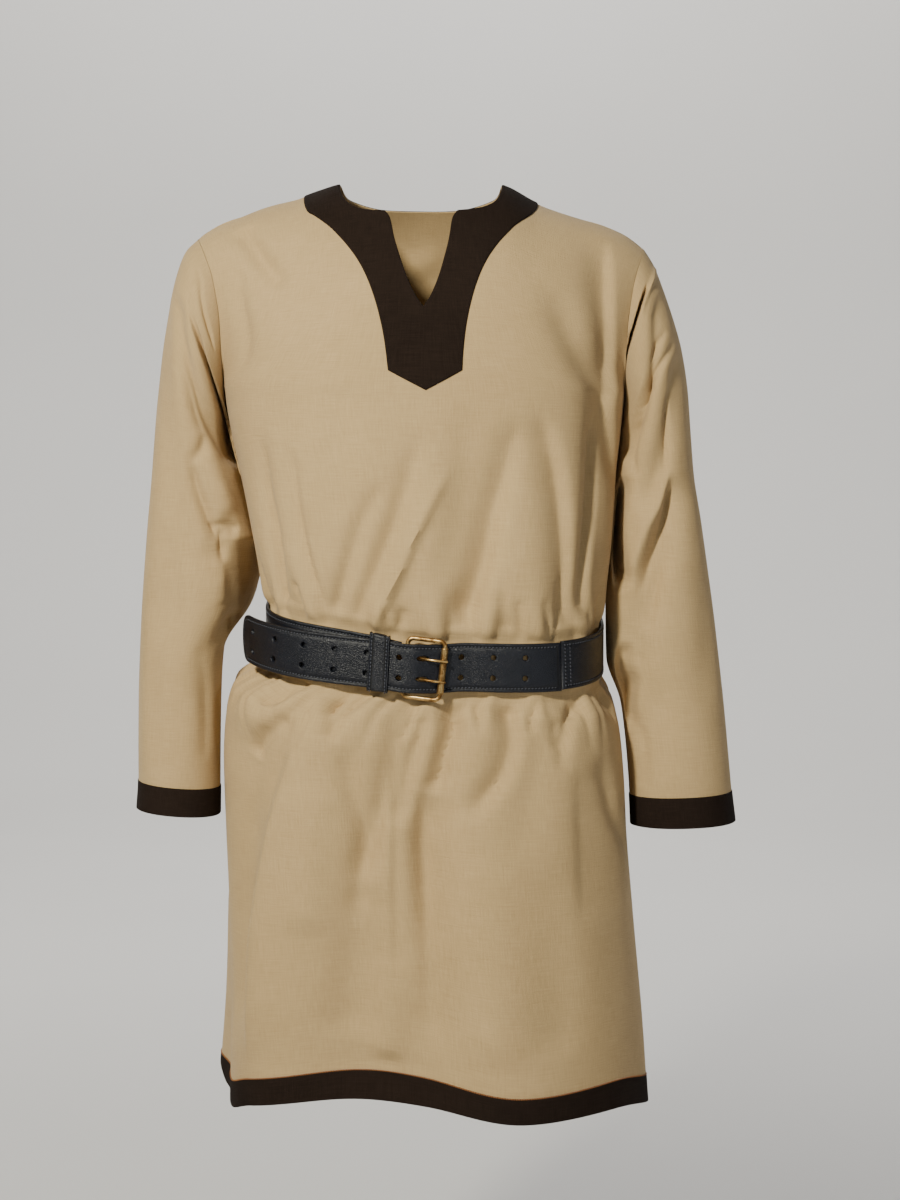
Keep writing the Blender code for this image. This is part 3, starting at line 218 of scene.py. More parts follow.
# Sleeves: outer and inner point of each ring seen from the front, and its front and back limits
SLEEVE_COLUMNS = ("row", "outer_x", "outer_z", "inner_x", "inner_z", "front", "back")
SLEEVES = {
    "sleeve_right": (
        (0, -0.234, -0.055, -0.206, -0.214, -0.054, 0.072),
        (1, -0.247, -0.069, -0.2062, -0.219, -0.062, 0.078),
        (2, -0.258, -0.098, -0.2054, -0.224, -0.066, 0.08),
        (3, -0.2655, -0.13, -0.2046, -0.23, -0.067, 0.081),
        (4, -0.272, -0.166, -0.2036, -0.238, -0.066, 0.081),
        (5, -0.2775, -0.21, -0.202, -0.25, -0.062, 0.078),
        (6, -0.2825, -0.257, -0.1973, -0.272, -0.058, 0.074),
        (7, -0.2865, -0.3, -0.1904, -0.305, -0.054, 0.071),
        (8, -0.2905, -0.345, -0.182, -0.346, -0.052, 0.069),
        (9, -0.294, -0.395, -0.1732, -0.39, -0.051, 0.067),
        (10, -0.2975, -0.445, -0.183, -0.44, -0.05, 0.064),
        (11, -0.3, -0.497, -0.2105, -0.49, -0.05, 0.06),
        (12, -0.3015, -0.543, -0.2135, -0.54, -0.051, 0.056),
        (13, -0.302, -0.598, -0.2145, -0.602, -0.053, 0.052),
        (14, -0.3018, -0.6285, -0.2147, -0.636, -0.054, 0.05),
        (15, -0.3035, -0.659, -0.2152, -0.666, -0.054, 0.05),
    ),
    "sleeve_left": (
        (0, 0.235, -0.068, 0.2145, -0.222, -0.054, 0.072),
        (1, 0.246, -0.085, 0.2143, -0.227, -0.062, 0.078),
        (2, 0.2565, -0.111, 0.214, -0.232, -0.066, 0.08),
        (3, 0.2665, -0.14, 0.2135, -0.238, -0.067, 0.081),
        (4, 0.2755, -0.172, 0.2129, -0.246, -0.066, 0.081),
        (5, 0.2825, -0.213, 0.2119, -0.258, -0.062, 0.078),
        (6, 0.287, -0.26, 0.2097, -0.278, -0.058, 0.074),
        (7, 0.2915, -0.305, 0.2069, -0.308, -0.054, 0.071),
        (8, 0.2985, -0.348, 0.2046, -0.348, -0.052, 0.069),
        (9, 0.3055, -0.398, 0.2007, -0.395, -0.051, 0.067),
        (10, 0.3125, -0.45, 0.1968, -0.445, -0.05, 0.064),
        (11, 0.3185, -0.503, 0.1978, -0.498, -0.05, 0.06),
        (12, 0.3235, -0.55, 0.2135, -0.548, -0.05, 0.056),
        (13, 0.329, -0.609, 0.2208, -0.612, -0.05, 0.052),
        (14, 0.332, -0.641, 0.223, -0.645, -0.05, 0.05),
        (15, 0.3362, -0.674, 0.2245, -0.6775, -0.05, 0.05),
    ),
}
SIDE = {"sleeve_right": -1, "sleeve_left": 1}
SLEEVE_END, CUFF_END = 14, 15
SEAM_ROWS = 3
SLEEVE_CORNER = 2.15
ROW_LENGTH, QUARTER_TURN = 0.045, 0.085

# Largest folds of the sleeves: ends as rows and quarter turns, 0 outer, 1 front, 2 inner, 3 back
SLEEVE_FOLD_COLUMNS = ("row_top", "turn_top", "row_low", "turn_low", "half_width", "at_top", "at_low")
SLEEVE_BACK_FOLDS = (
    (3.0, 3.3, 8.4, 2.9, 0.018, -0.005, -0.006),
    (8.4, 2.6, 10.6, 3.2, 0.018, -0.007, -0.006),
    (10.4, 3.3, 13.4, 3.1, 0.018, -0.005, -0.002),
)
SLEEVE_FOLDS = {
    "sleeve_right": (
        (2.2, 0.5, 4.3, 1.14, 0.017, -0.004, -0.011),
        (4.3, 1.14, 6.6, 1.74, 0.017, -0.011, -0.007),
        (3.0, 0.35, 9.0, 0.95, 0.018, -0.002, -0.005),
        (8.6, 1.2, 10.6, 1.75, 0.018, -0.008, -0.009),
        (9.6, 0.6, 13.2, 0.8, 0.018, -0.005, -0.003),
        *SLEEVE_BACK_FOLDS,
    ),
    "sleeve_left": (
        (1.8, 0.55, 3.8, 1.2, 0.017, -0.004, -0.01),
        (3.8, 1.2, 6.2, 1.74, 0.017, -0.01, -0.007),
        (4.0, 0.5, 7.6, 1.2, 0.018, -0.004, -0.009),
        (7.2, 0.7, 10.8, 1.45, 0.018, -0.008, -0.009),
        (10.6, 1.3, 13.2, 1.2, 0.018, -0.006, -0.002),
        *SLEEVE_BACK_FOLDS,
    ),
}

# Creases that the photograph shows, from top to bottom: their path in its pixels, how wide they are to
# the left and the right of it, their heights along it, in millimetres, and how sharp their line is
CREASE_COLUMNS = ("path", "left", "right", "heights", "sharp")
SEEN_CREASES = {
    "front": (
        (((518, 410), (509, 458), (501, 489), (494, 519), (486, 558), (477, 596), (462, 637)),
         20, 8, (-1, -4, -6, -7), 0.5),
        (((452, 462), (441, 485), (428, 512), (414, 540), (399, 575), (384, 605), (372, 634)),
         13, 4, (0.5, 3, 4.5, 5), 0.7),
        (((422, 430), (405, 490), (392, 530), (376, 573), (364, 604), (356, 630)),
         10, 8, (-1, -3, -4), 0.2),
        (((385, 475), (364, 516), (350, 556), (340, 590), (333, 624)), 8, 7, (-1, -3, -4), 0.3),
        (((289, 440), (293, 480), (299, 520), (308, 560), (318, 596), (326, 626)),
         9, 4, (-1, -3, -5), 0.6),
        (((262, 430), (264, 490), (273, 550), (283, 612)), 9, 8, (-1.5, -3, -4), 0.2),
        (((290, 582), (297, 598), (307, 618)), 4, 3, (-2, -4), 0.5),
        (((277, 590), (285, 614)), 4, 4, (-1, -4), 0.2),
        (((536, 405), (550, 440), (560, 476), (565, 520), (568, 570), (569, 604), (572, 636)),
         19, 6, (-1.5, -5, -7, -7), 0.5),
        (((603, 410), (601, 460), (598, 510), (592, 556), (588, 596), (590, 628)),
         16, 6, (-3, -5, -6), 0.4),
        (((604, 236), (608, 290), (611, 345), (613, 400), (615, 450), (616, 500)),
         26, 6, (-1, -4, -5, -4, -2), 0.3),
        (((240, 228), (252, 246), (264, 264), (284, 290)), 12, 12, (-2, -4, -2), 0.0),
        (((238, 262), (241, 310), (246, 370)), 12, 10, (-0.8, -2, -1), 0.0),
        (((470, 400), (466, 470), (452, 540), (430, 600)), 14, 14, (-0.8, -2, -1.5), 0.0),
        (((345, 380), (340, 450), (338, 520)), 16, 16, (-0.8, -1.5, -0.8), 0.0),
        (((519, 600), (520, 640)), 4, 4, (-1, -4), 0.3),
        (((404, 608), (398, 640)), 5, 5, (-1, -4), 0.2),
        (((545, 598), (548, 638)), 4, 4, (-0.5, -3), 0.2),
        (((262, 706), (250, 750), (243, 800), (238, 860), (235, 940), (235, 1050)),
         40, 40, (-3, -9, -10, -9, -7, -4), 0.0),
        (((318, 684), (306, 703), (298, 735), (288, 765), (274, 805), (262, 855), (253, 940), (251, 1060)),
         7, 34, (1, 3, 5, 6, 6, 6, 5), 0.6),
        (((349, 684), (339, 698), (331, 716)), 5, 4, (-8, -5, -2), 0.5),
        (((366, 688), (353, 706), (338, 722), (327, 742)), 7, 4, (-6, -5, -2), 0.5),
        (((293, 682), (281, 691), (258, 702)), 6, 6, (-4, -2), 0.2),
        (((286, 714), (262, 733), (240, 757)), 9, 9, (-2, -4, -2), 0.1),
        (((402, 700), (396, 730), (390, 765), (381, 805), (368, 850), (360, 890)),
         10, 8, (-2, -3, -3, -2), 0.2),
        (((432, 704), (421, 730), (412, 762), (404, 795), (398, 830)), 9, 6, (-4, -4, -2.5), 0.3),
        (((449, 700), (452, 716), (453, 732), (447, 752), (440, 774), (432, 796)),
         10, 6, (-9, -7, -7, -5), 0.4),
        (((434, 780), (425, 798), (424, 817), (424, 849), (426, 890), (429, 940), (431, 1000), (433, 1060)),
         9, 18, (-5, -8, -6, -4, -3, -2), 0.3),
        (((389, 750), (388, 830), (387, 900), (389, 985)), 3, 3, (0.6, 0.9, 0.8, 0.4), 0.4),
        (((396, 770), (396, 840), (395, 910), (396, 990)), 3, 3, (-0.5, -0.8, -0.7, -0.4), 0.4),
        (((312, 696), (305, 716), (296, 742), (292, 760)), 5, 3, (-3, -3, -2, -0.5), 0.5),
        (((420, 702), (411, 722), (399, 745)), 4, 3, (-3, -3, -1), 0.5),
        (((476, 700), (480, 716), (478, 738)), 4, 4, (-3, -2, -0.5), 0.4),
        (((538, 700), (533, 716), (530, 736)), 4, 3, (-3, -2, -0.5), 0.4),
        (((345, 740), (352, 790), (362, 830), (359, 870), (352, 930)), 9, 8, (-1.5, -3, -3, -1), 0.2),
        (((506, 690), (512, 703), (513, 722), (512, 742), (504, 772), (489, 795), (466, 822)),
         12, 6, (-7, -6, -6, -5, -2), 0.3),
        (((561, 712), (556, 732), (559, 752)), 5, 5, (-0.5, -1.5, -1), 0.2),
        (((579, 696), (571, 720), (564, 748), (562, 776)), 6, 5, (-3, -3, -2, -0.5), 0.3),
        (((582, 764), (583, 810), (584, 860), (586, 930)), 8, 26, (-0.5, -1.5, -1.5, -0.5), 0.1),
        (((600, 752), (610, 785), (620, 822), (630, 866)), 14, 10, (-0.5, -2, -1.5, -0.5), 0.1),
        (((600, 690), (608, 702), (616, 722)), 6, 5, (-3, -2, -0.5), 0.3),
        (((366, 880), (350, 960), (341, 1046)), 16, 22, (-1.5, -2.5, -2.5), 0.1),
        (((545, 860), (552, 950), (556, 1060)), 22, 18, (-0.5, -1.2, -2), 0.0),
        (((486, 850), (490, 950), (494, 1070)), 20, 22, (0.5, 1.2, 2.5), 0.0),
        (((318, 780), (310, 850), (305, 940)), 18, 16, (1, 2, 2), 0.0),
        (((390, 960), (388, 1010), (384, 1068)), 12, 14, (1, 2, 3), 0.0),
    ),
    "sleeve_right": (
        (((200, 266), (202, 297), (208, 323), (216, 350)), 6, 5, (-0.5, -1.5, -2.5, -1), 0.2),
        (((173, 345), (185, 385), (196, 414), (206, 440)), 11, 7, (-0.5, -1.5, -3, -1.5), 0.3),
        (((206, 432), (203, 448), (194, 460), (184, 466)), 8, 7, (-1, -3, -2.5, -0.5), 0.1),
        (((192, 460), (198, 486), (206, 508), (214, 530), (220, 548)), 9, 5, (-1, -5, -7, -6, -2), 0.3),
        (((208, 446), (216, 474), (224, 500), (229, 518)), 12, 12, (0.5, 2.5, 4, 2.5), 0.0),
        (((210, 528), (219, 524), (230, 524), (240, 530)), 13, 3.5, (-2, -5, -6, -3), 0.4),
        (((223, 528), (224, 545), (225, 566)), 3.5, 5, (-2, -4, -1), 0.4),
        (((222, 556), (224, 580), (226, 606)), 12, 6, (1, 3, 1), 0.2),
        (((160, 520), (172, 570), (178, 620), (190, 660)), 16, 9, (-0.5, -2.5, -2.5, -0.5), 0.1),
        (((202, 640), (207, 700), (205, 765)), 12, 8, (-0.5, -2, -1), 0.1),
        (((160, 650), (166, 710), (164, 770)), 14, 12, (0.5, 1.5, 1), 0.0),
    ),
    "sleeve_left": (
        (((655, 268), (649, 290), (640, 318)), 5, 5, (0.5, 2, 0.5), 0.2),
        (((668, 330), (658, 348), (649, 364)), 8, 5, (-0.5, -2.5, -1), 0.2),
        (((676, 342), (662, 366), (648, 390), (638, 412)), 11, 6, (-0.5, -3, -4, -1.5), 0.3),
        (((671, 388), (669, 420), (668, 450), (664, 480)), 8, 4, (-0.5, -3, -3, -1), 0.5),
        (((634, 420), (631, 450), (637, 480)), 8, 6, (-0.5, -3, -1), 0.2),
        (((670, 468), (662, 500), (650, 526), (640, 552), (628, 585)), 12, 5, (1, 4, 5.5, 4, 1), 0.4),
        (((674, 476), (667, 508), (656, 536), (645, 564), (634, 600)), 5, 9, (-1, -6, -8, -7, -2), 0.3),
        (((668, 540), (656, 590), (646, 640)), 11, 6, (-0.5, -4, -1), 0.4),
        (((640, 650), (632, 680), (626, 705)), 8, 7, (-1, -4, -1), 0.2),
        (((628, 700), (636, 724), (643, 750), (643, 790)), 10, 9, (-0.5, -2.5, -2, -0.5), 0.1),
        (((700, 560), (706, 640), (702, 720)), 18, 15, (-0.5, -2, -0.5), 0.0),
    ),
}

# Creases of the sides that the photograph doesn't show, in shares across and levels of the body, or in
# rows and quarter turns of a sleeve, with the same other columns
HIDDEN_CREASES = {
    "back": (
        (((-0.7, -0.06), (-0.58, -0.14), (-0.5, -0.24), (-0.47, -0.33)), 22, 8, (-1, -5, -6, -3), 0.4),
        (((0.74, -0.07), (0.62, -0.15), (0.52, -0.26), (0.5, -0.36)), 8, 20, (-1, -5, -5, -2), 0.5),
        (((-0.2, -0.07), (-0.06, -0.085), (0.1, -0.072)), 16, 14, (-0.5, -2, -0.5), 0.0),
        (((-0.06, -0.15), (-0.1, -0.25), (-0.22, -0.36), (-0.28, -0.43)), 14, 6, (-1, -3, -5, -5), 0.5),
        (((0.22, -0.2), (0.16, -0.3), (0.08, -0.38), (0.06, -0.44)), 10, 6, (-1, -3, -4, -4), 0.4),
        (((0.4, -0.25), (0.33, -0.34), (0.3, -0.436)), 6, 9, (-1, -3, -4), 0.4),
        (((-0.62, -0.3), (-0.66, -0.37), (-0.6, -0.436)), 8, 5, (-1, -3, -4), 0.5),
        (((0.7, -0.29), (0.76, -0.36), (0.7, -0.436)), 5, 8, (-1, -3, -4), 0.4),
        (((-0.44, -0.34), (-0.42, -0.4), (-0.45, -0.438)), 5, 6, (-1, -3, -4), 0.3),
        (((0.52, -0.36), (0.5, -0.436)), 5, 5, (-1, -4), 0.3),
        (((-0.1, -0.39), (-0.08, -0.438)), 5, 4, (-1, -4), 0.3),
        (((0.36, -0.512), (0.38, -0.56), (0.3, -0.64), (0.26, -0.72)), 7, 14, (-6, -5, -4, -2), 0.5),
        (((-0.3, -0.512), (-0.26, -0.59), (-0.3, -0.66), (-0.36, -0.78)), 16, 6, (-6, -5, -4, -2), 0.5),
        (((0.04, -0.512), (0.02, -0.58), (0.08, -0.66)), 7, 6, (-5, -4, -2), 0.4),
        (((-0.62, -0.516), (-0.68, -0.58), (-0.76, -0.66), (-0.78, -0.76)), 16, 6, (-5, -4, -3, -2), 0.4),
        (((0.66, -0.516), (0.72, -0.59), (0.76, -0.69)), 6, 13, (-5, -4, -2), 0.4),
        (((-0.12, -0.514), (-0.14, -0.556)), 4, 5, (-5, -2), 0.4),
        (((0.2, -0.514), (0.17, -0.548)), 5, 4, (-5, -2), 0.4),
        (((0.52, -0.514), (0.5, -0.565)), 5, 5, (-4, -2), 0.3),
        (((-0.48, -0.62), (-0.46, -0.76), (-0.48, -0.93)), 16, 12, (-1, -3, -4), 0.1),
        (((0.48, -0.64), (0.5, -0.78), (0.5, -0.93)), 12, 18, (-1, -3, -4), 0.1),
        (((0.02, -0.7), (0.05, -0.82), (0.04, -0.94)), 20, 16, (1, 2, 3), 0.0),
        (((-0.16, -0.76), (-0.2, -0.86), (-0.18, -0.945)), 14, 10, (-1, -2, -3), 0.1),
    ),
    "sleeve_right": (
        (((1.6, 3.55), (2.8, 3.2), (4.0, 2.75), (5.0, 2.35)), 9, 6, (-2, -7, -9, -5), 0.3),
        (((3.4, 3.75), (5.0, 3.35), (6.4, 2.9)), 12, 6, (-1, -4, -5), 0.4),
        (((6.2, 3.3), (7.6, 3.0), (8.8, 2.5)), 10, 6, (-2, -6, -8), 0.4),
        (((8.2, 3.6), (9.2, 3.1), (9.8, 2.6)), 7, 7, (-2, -6, -7), 0.3),
        (((9.4, 3.7), (10.4, 3.2), (11.4, 2.9)), 9, 7, (-1, -5, -3), 0.3),
        (((10.6, 2.6), (12.0, 2.9), (13.6, 2.95)), 10, 9, (-3, -3, -1), 0.1),
        (((5.6, 3.95), (7.6, 4.0), (9.2, 3.85)), 10, 12, (-1, -2.5, -1), 0.1),
    ),
    "sleeve_left": (
        (((1.4, 3.5), (2.6, 3.15), (3.8, 2.75), (4.8, 2.3)), 9, 6, (-2, -6, -9, -6), 0.3),
        (((3.8, 3.7), (5.2, 3.25), (6.8, 2.85)), 11, 6, (-1, -5, -5), 0.4),
        (((6.6, 3.4), (7.8, 3.0), (8.6, 2.45)), 9, 7, (-2, -6, -7), 0.4),
        (((8.6, 3.5), (9.4, 3.05), (10.2, 2.6)), 8, 6, (-2, -6, -6), 0.3),
        (((9.8, 3.75), (10.9, 3.3), (12.0, 3.05)), 9, 7, (-1, -4, -3), 0.3),
        (((11.0, 2.55), (12.4, 2.8), (13.6, 2.9)), 10, 9, (-3, -3, -1), 0.1),
        (((5.0, 3.9), (7.0, 4.0), (9.0, 3.9)), 10, 12, (-1, -2.5, -1), 0.1),
    ),
}

# Deep hollows of the sleeves beside the body, with the same columns, pressed straight back
HOLLOWS = {
    "sleeve_right": (
        (((187, 298), (194, 322), (202, 348), (213, 382), (222, 410), (230, 440), (237, 465), (245, 495)),
         8, 6, (3, 14, 30, 46, 48, 44, 34, 18), -1.5),
        (((252, 536), (255, 560), (254, 590), (246, 640)), 24, 24, (12, 46, 50, 20), -0.5),
    ),
    "sleeve_left": (
        (((648, 282), (642, 300), (633, 330), (628, 346), (625, 364), (623, 384)),
         4.2, 4.0, (2, 16, 32, 34, 24, 8), -1.5),
        (((625, 474), (619, 500), (616, 530), (618, 560), (622, 592)),
         10, 12, (10, 36, 44, 38, 12), -1.0),
        (((622, 640), (624, 680), (628, 730)), 8, 9, (8, 24, 10), -0.5),
    ),
}

# How creases fade at their ends, and how much deeper they are pressed, up to a steepest slope
CREASE_FADE, CREASE_REACH, CREASE_STEPS = 0.16, 2.6, 6
CREASE_DEPTH = {"body": 2.8, "sleeve": 1.6}
STEEPEST = 1.9

# Where a sleeve rests on the body and stays smooth: half width in quarter turns, and rows
REST_TURN, REST_ROWS = 0.18, (0.6, 2.2)

# Small tucks at the belt, and the low waves of hanging cloth
TUCKS, TUCK_SPREAD, TUCK_START = 22, 0.94, 0.008
TUCK_SEED = {FRONT: 11, BACK: 23}
TUCK_LENGTHS, TUCK_SWAY = (0.03, 0.085), 0.22
TUCK_WIDTHS, TUCK_DEPTHS = (0.003, 0.0055), (0.0018, 0.006)
TUCK_HEIGHTS = (1.4, 1.1, 0.6, 0.25, 0.0)
WAVES, WAVES_ACROSS, WAVES_UP = 12, (18, 75), (-22, 22)
SLEEVE_SEED = 31
WAVE_HEIGHT = {"body": 0.0011, "sleeve": 0.001}

# Spacing of the fine cloth
LATTICE = {FRONT: 0.00345, BACK: 0.0038}
ROW_SHARE, KEEP_OFF_SHARE = 0.9, 0.6
FACING_LATTICE, FACING_KEEP_OFF = 0.0024, 0.0022
FACING_INSETS = ((0.0004, 0.0003), (0.0009, 0.0008), (0.0015, 0.0013))
SHOULDER_POINTS = 36
SLEEVE_AROUND, SLEEVE_ROWS = 188, 236
BAND_PROFILE = (0.0, 0.0003, 0.0007, 0.0012, 0.004, 0.008, 0.013, 0.0185, 0.0235, 0.0265, 0.0288,
                0.0293, 0.0296)

# Straps of the belt: lift of their inner face off the cloth, from the buckle to the wearer's left
BELT_WIDTH, LEATHER = 0.05, 0.0032
BELT_GAP = 0.004
BELT_JOIN = 0.145
STRAP_END, STRAP_LIFT = -0.0188, 0.0023
TONGUE_TIP, TIP_LENGTH, TIP_POWER = -0.212, 0.018, 0.8
LIFT_COLUMNS = ("along", "out")
STRAP_LIFTS = ((-0.13, 0.0), (-0.09, 0.0006), (-0.062, STRAP_LIFT), (STRAP_END, STRAP_LIFT))
TONGUE_LIFTS = (
    (-0.215, 0.0255), (-0.2, 0.0215), (-0.18, 0.016), (-0.15, 0.0088), (-0.12, 0.0052),
    (-0.095, 0.0044), (-0.062, 0.0062), (-0.048, 0.0072), (-0.03, 0.0098), (-0.018, 0.0112),
    (-0.01, 0.0112), (-0.003, 0.0104), (0.006, 0.0076), (0.014, 0.0052), (0.0235, 0.003),
    (0.036, 0.001), (0.048, 0.0), (0.15, 0.0),
)
RISE_COLUMNS = ("along", "up")
TONGUE_RISES = (
    (-0.212, 0.0045), (-0.1, 0.004), (-0.04, 0.0028), (-0.012, 0.0), (0.01, 0.0),
    (0.05, 0.003), (0.15, 0.0032),
)
STRAP_RISES = (
    (-0.9, 0.003), (-0.74, 0.006), (-0.62, 0.004), (-0.45, 0.0), (-0.25, 0.01),
    (-0.16, 0.012), (-0.12, 0.0115), (-0.085, 0.01), (-0.05, 0.0065), (STRAP_END, 0.001),
)
HOLE_PITCH, HOLE_ROW, HOLE_RADIUS, HOLE_SIDES = 0.0325, 0.0105, 0.0028, 20
FIRST_HOLES = {"left": (-0.0204, 6), "right": (0.0421, 3)}
SLOT_FROM, SLOT_TO, SLOT_HALF = -0.0032, 0.0092, 0.0025
NOTCH_HALF, NOTCH_DEPTH = 0.0032, 0.0045
WAIST_STEPS, BELT_SMOOTH = 900, 0.012
STRAP_STEP = 0.0028
STRAP_INSETS = (0.0003, 0.0007, 0.0012, 0.0018, 0.0026, 0.0034, 0.0041, 0.0048, 0.0058)
MIDDLE_INSET, MIDDLE_ROWS = 0.0082, 14
HOLE_RINGS, HOLE_ROUND = ((0.0003, 0.0002), (0.0007, 0.0004)), 0.0007
LEATHER_ROUND = 0.0011
GROOVE_IN, GROOVE_WIDE, GROOVE_DEEP = 0.0041, 0.0013, 0.0011
BEAD_IN, BEAD_WIDE, BEAD_HIGH = 0.0022, 0.001, 0.0003

# Keeper and buckle
KEEPER_FROM, KEEPER_TO = -0.051, -0.0305
KEEPER_HALF, KEEPER_WALL, KEEPER_CORNER, KEEPER_GAP = 0.0264, 0.0019, 0.001, 0.0003
KEEPER_INSETS = (0, 0.0002, 0.0005, 0.001, 0.0018, 0.0024, 0.003, 0.0036, 0.0048, 0.007)
KEEPER_ROUND, KEEPER_FLAT = 0.0008, 0.0012
BUCKLE_TILT, BUCKLE_MIDDLE = math.radians(-4), 0.003
PIVOT_ALONG, PIVOT_OUT = -0.0145, 0.0054
ROLLER_ALONG, ROLLER_OUT = 0.0235, 0.0107
RAIL, RAIL_CORNER, WIRE = 0.03, 0.006, 0.0023
ROLLER_INSIDE, ROLLER_OUTSIDE, ROLLER_LENGTH = 0.0027, 0.0036, 0.047
ROLLER_SIDES, ROLLER_INSETS = 28, (0, 0.0001, 0.0003, 0.0007, 0.0015)
PRONG, PRONG_LOOP = 0.0013, 0.0039
PRONG_PATH = (
    (-0.006, 0.0062), (-0.0015, 0.0076), (0.0035, 0.011), (0.008, 0.0142), (0.014, 0.016),
    (0.0235, 0.016), (0.0268, 0.0156),
)

# Stitches, which the node tree sets out by these values
STITCH_COLUMNS = ("Pitch", "Length", "Width", "Height", "Slant")
STITCH_SIZES = {
    "cloth": (0.0026, 0.0023, 0.0008, 0.0005, 0.0),
    "hem": (0.0026, 0.0027, 0.002, 0.0012, 0.0),
    "leather": (0.0036, 0.0024, 0.0015, 0.0013, 0.3),
}

# Where stitches run: in from the facing's edge, on a band's row of points, along the belt's join, and on
# the keeper's outer face, in from its sides and on these points of its ring
STITCH_IN, BAND_STITCH = 0.0024, 1
STITCHED_TIP, JOIN_STITCHES = 0.8, (0.004, 0.0098)
KEEPER_STITCH, KEEPER_FACE = 0.0028, slice(3, 24)

# Stage
FLOOR_Z = -1.46
FLOOR_RADIUS, WALL_RADIUS, WALL_TOP, STAGE_SIDES = 5.2, 7.2, 6.0, 96

# Lights: place, target, size in metres, power in watts and colour
MIDDLE = (0.0, 0.0, -0.5)
LIGHTS = {
    "key": ((-0.95, -1.95, 0.85), MIDDLE, 0.25, 94, (1.0, 0.97, 0.83)),
    "fill": ((1.5, -2.8, -0.2), MIDDLE, 0.35, 13, (0.86, 0.93, 1.0)),
    "above": ((0.0, 4.0, 3.6), (0.0, 7.0, -1.0), 2.5, 300, (1.0, 1.0, 1.0)),
    "behind_left": ((-2.2, 3.0, 1.0), MIDDLE, 1.0, 40, (1.0, 0.98, 0.95)),
    "behind_right": ((2.6, 2.6, 0.6), MIDDLE, 1.0, 30, (0.97, 0.98, 1.0)),
}
WORLD_COLOUR, WORLD_STRENGTH = (0.80, 0.90, 1.0, 1), 0.06

CLOTH_UV = "cloth"
EDGE = "edge"
SHARP_ANGLE = math.radians(50)

# Steps of slopes, of slopes under stitches, and the half width from which the search for a place starts
SLOPE_STEP, STITCH_SLOPE_STEP = 0.0008, 0.0010
FIRST_HALF_WIDTH = 0.22


def curve(table, names, key, wanted, at):
    """The wanted column at values of the key column, on a smooth curve that never overshoots."""
    rows = np.array(table, float)
    xs, ys = rows[:, names.index(key)], rows[:, names.index(wanted)]
    at = np.clip(np.asarray(at, float), xs[0], xs[-1])
    gaps = np.diff(xs)
    slopes = np.diff(ys) / gaps
    tangents = np.zeros(len(xs))
    tangents[0], tangents[-1] = slopes[0], slopes[-1]
    same_way = slopes[:-1] * slopes[1:] > 0
    total = np.where(same_way, slopes[:-1] + slopes[1:], 1.0)
    tangents[1:-1] = np.where(same_way, 2 * slopes[:-1] * slopes[1:] / total, 0.0)
    i = np.clip(np.searchsorted(xs, at, side="right") - 1, 0, len(xs) - 2)
    t = (at - xs[i]) / gaps[i]
    plain = ys[i] * (1 + 2 * t) * (1 - t) ** 2 + ys[i + 1] * t * t * (3 - 2 * t)
    return plain + gaps[i] * (tangents[i] * t * (1 - t) ** 2 - tangents[i + 1] * t * t * (1 - t))


def section(wanted, level):
    return curve(BODY_SECTIONS, BODY_COLUMNS, "level", wanted, level)


def lean(wanted, level):
    return curve(LEANS, LEAN_COLUMNS, "level", wanted, level)


def line_of(table, names):
    """Smooth line of a table's second column over its first."""
    return lambda at: curve(table, names, *names, at)


shoulder_z = line_of(SHOULDER_LINE, SHOULDER_COLUMNS)
strap_lift, tongue_lift = line_of(STRAP_LIFTS, LIFT_COLUMNS), line_of(TONGUE_LIFTS, LIFT_COLUMNS)
strap_rise, tongue_rise = line_of(STRAP_RISES, RISE_COLUMNS), line_of(TONGUE_RISES, RISE_COLUMNS)


def soft_step(value, low, high):
    t = np.clip((value - low) / (high - low), 0, 1)
    return t * t * (3 - 2 * t)


def unit(vectors):
    return vectors / np.maximum(np.linalg.norm(vectors, axis=-1, keepdims=True), 1e-12)


def cap_rise(up):
    """Share of the way from the armpit to the shoulder line, 0 below the armpit."""
    return np.sin(np.clip((up - ARMPIT) / CAP, 0, 1) * math.pi / 2)


def cap_up(rise):
    """Distance up the cloth where it has this share of the way to the shoulder line."""
    return ARMPIT + CAP * np.arcsin(rise) * 2 / math.pi


def up_level(up):
    """Level of a place up the cloth."""
    return np.where(up > ARMPIT, ARMPIT * (1 - cap_rise(up)), up)


def level_up(level):
    """Place up the cloth of a level."""
    return np.where(level > ARMPIT, cap_up(np.clip(1 - level / ARMPIT, 0, 1)), level)


def across_shares(across, level):
    """Shares of a section's half width and of its depth, for a column of the cloth."""
    corner, roundness = section("corner", level), section("round", level)
    turn = across * math.pi / 2
    size = (np.abs(np.sin(turn)) ** corner + np.abs(np.cos(turn)) ** corner) ** (1 / corner)
    wide = roundness * np.sin(turn) / size + (1 - roundness) * across
    deep = roundness * np.cos(turn) / size + (1 - roundness) * (1 - np.abs(across) ** YOKE_POWER)
    return wide, deep


def form_level(across, level, face):
    """Level whose section the cloth takes, so that it swells out right above the belt all round."""
    if not BELT_TOPS:
        return level
    spare = FLAT_TOP - np.interp(across, *BELT_TOPS[face])
    near = soft_step(level, *SWELL_IN) * (1 - soft_step(level, *SWELL_OUT))
    return level + spare * near


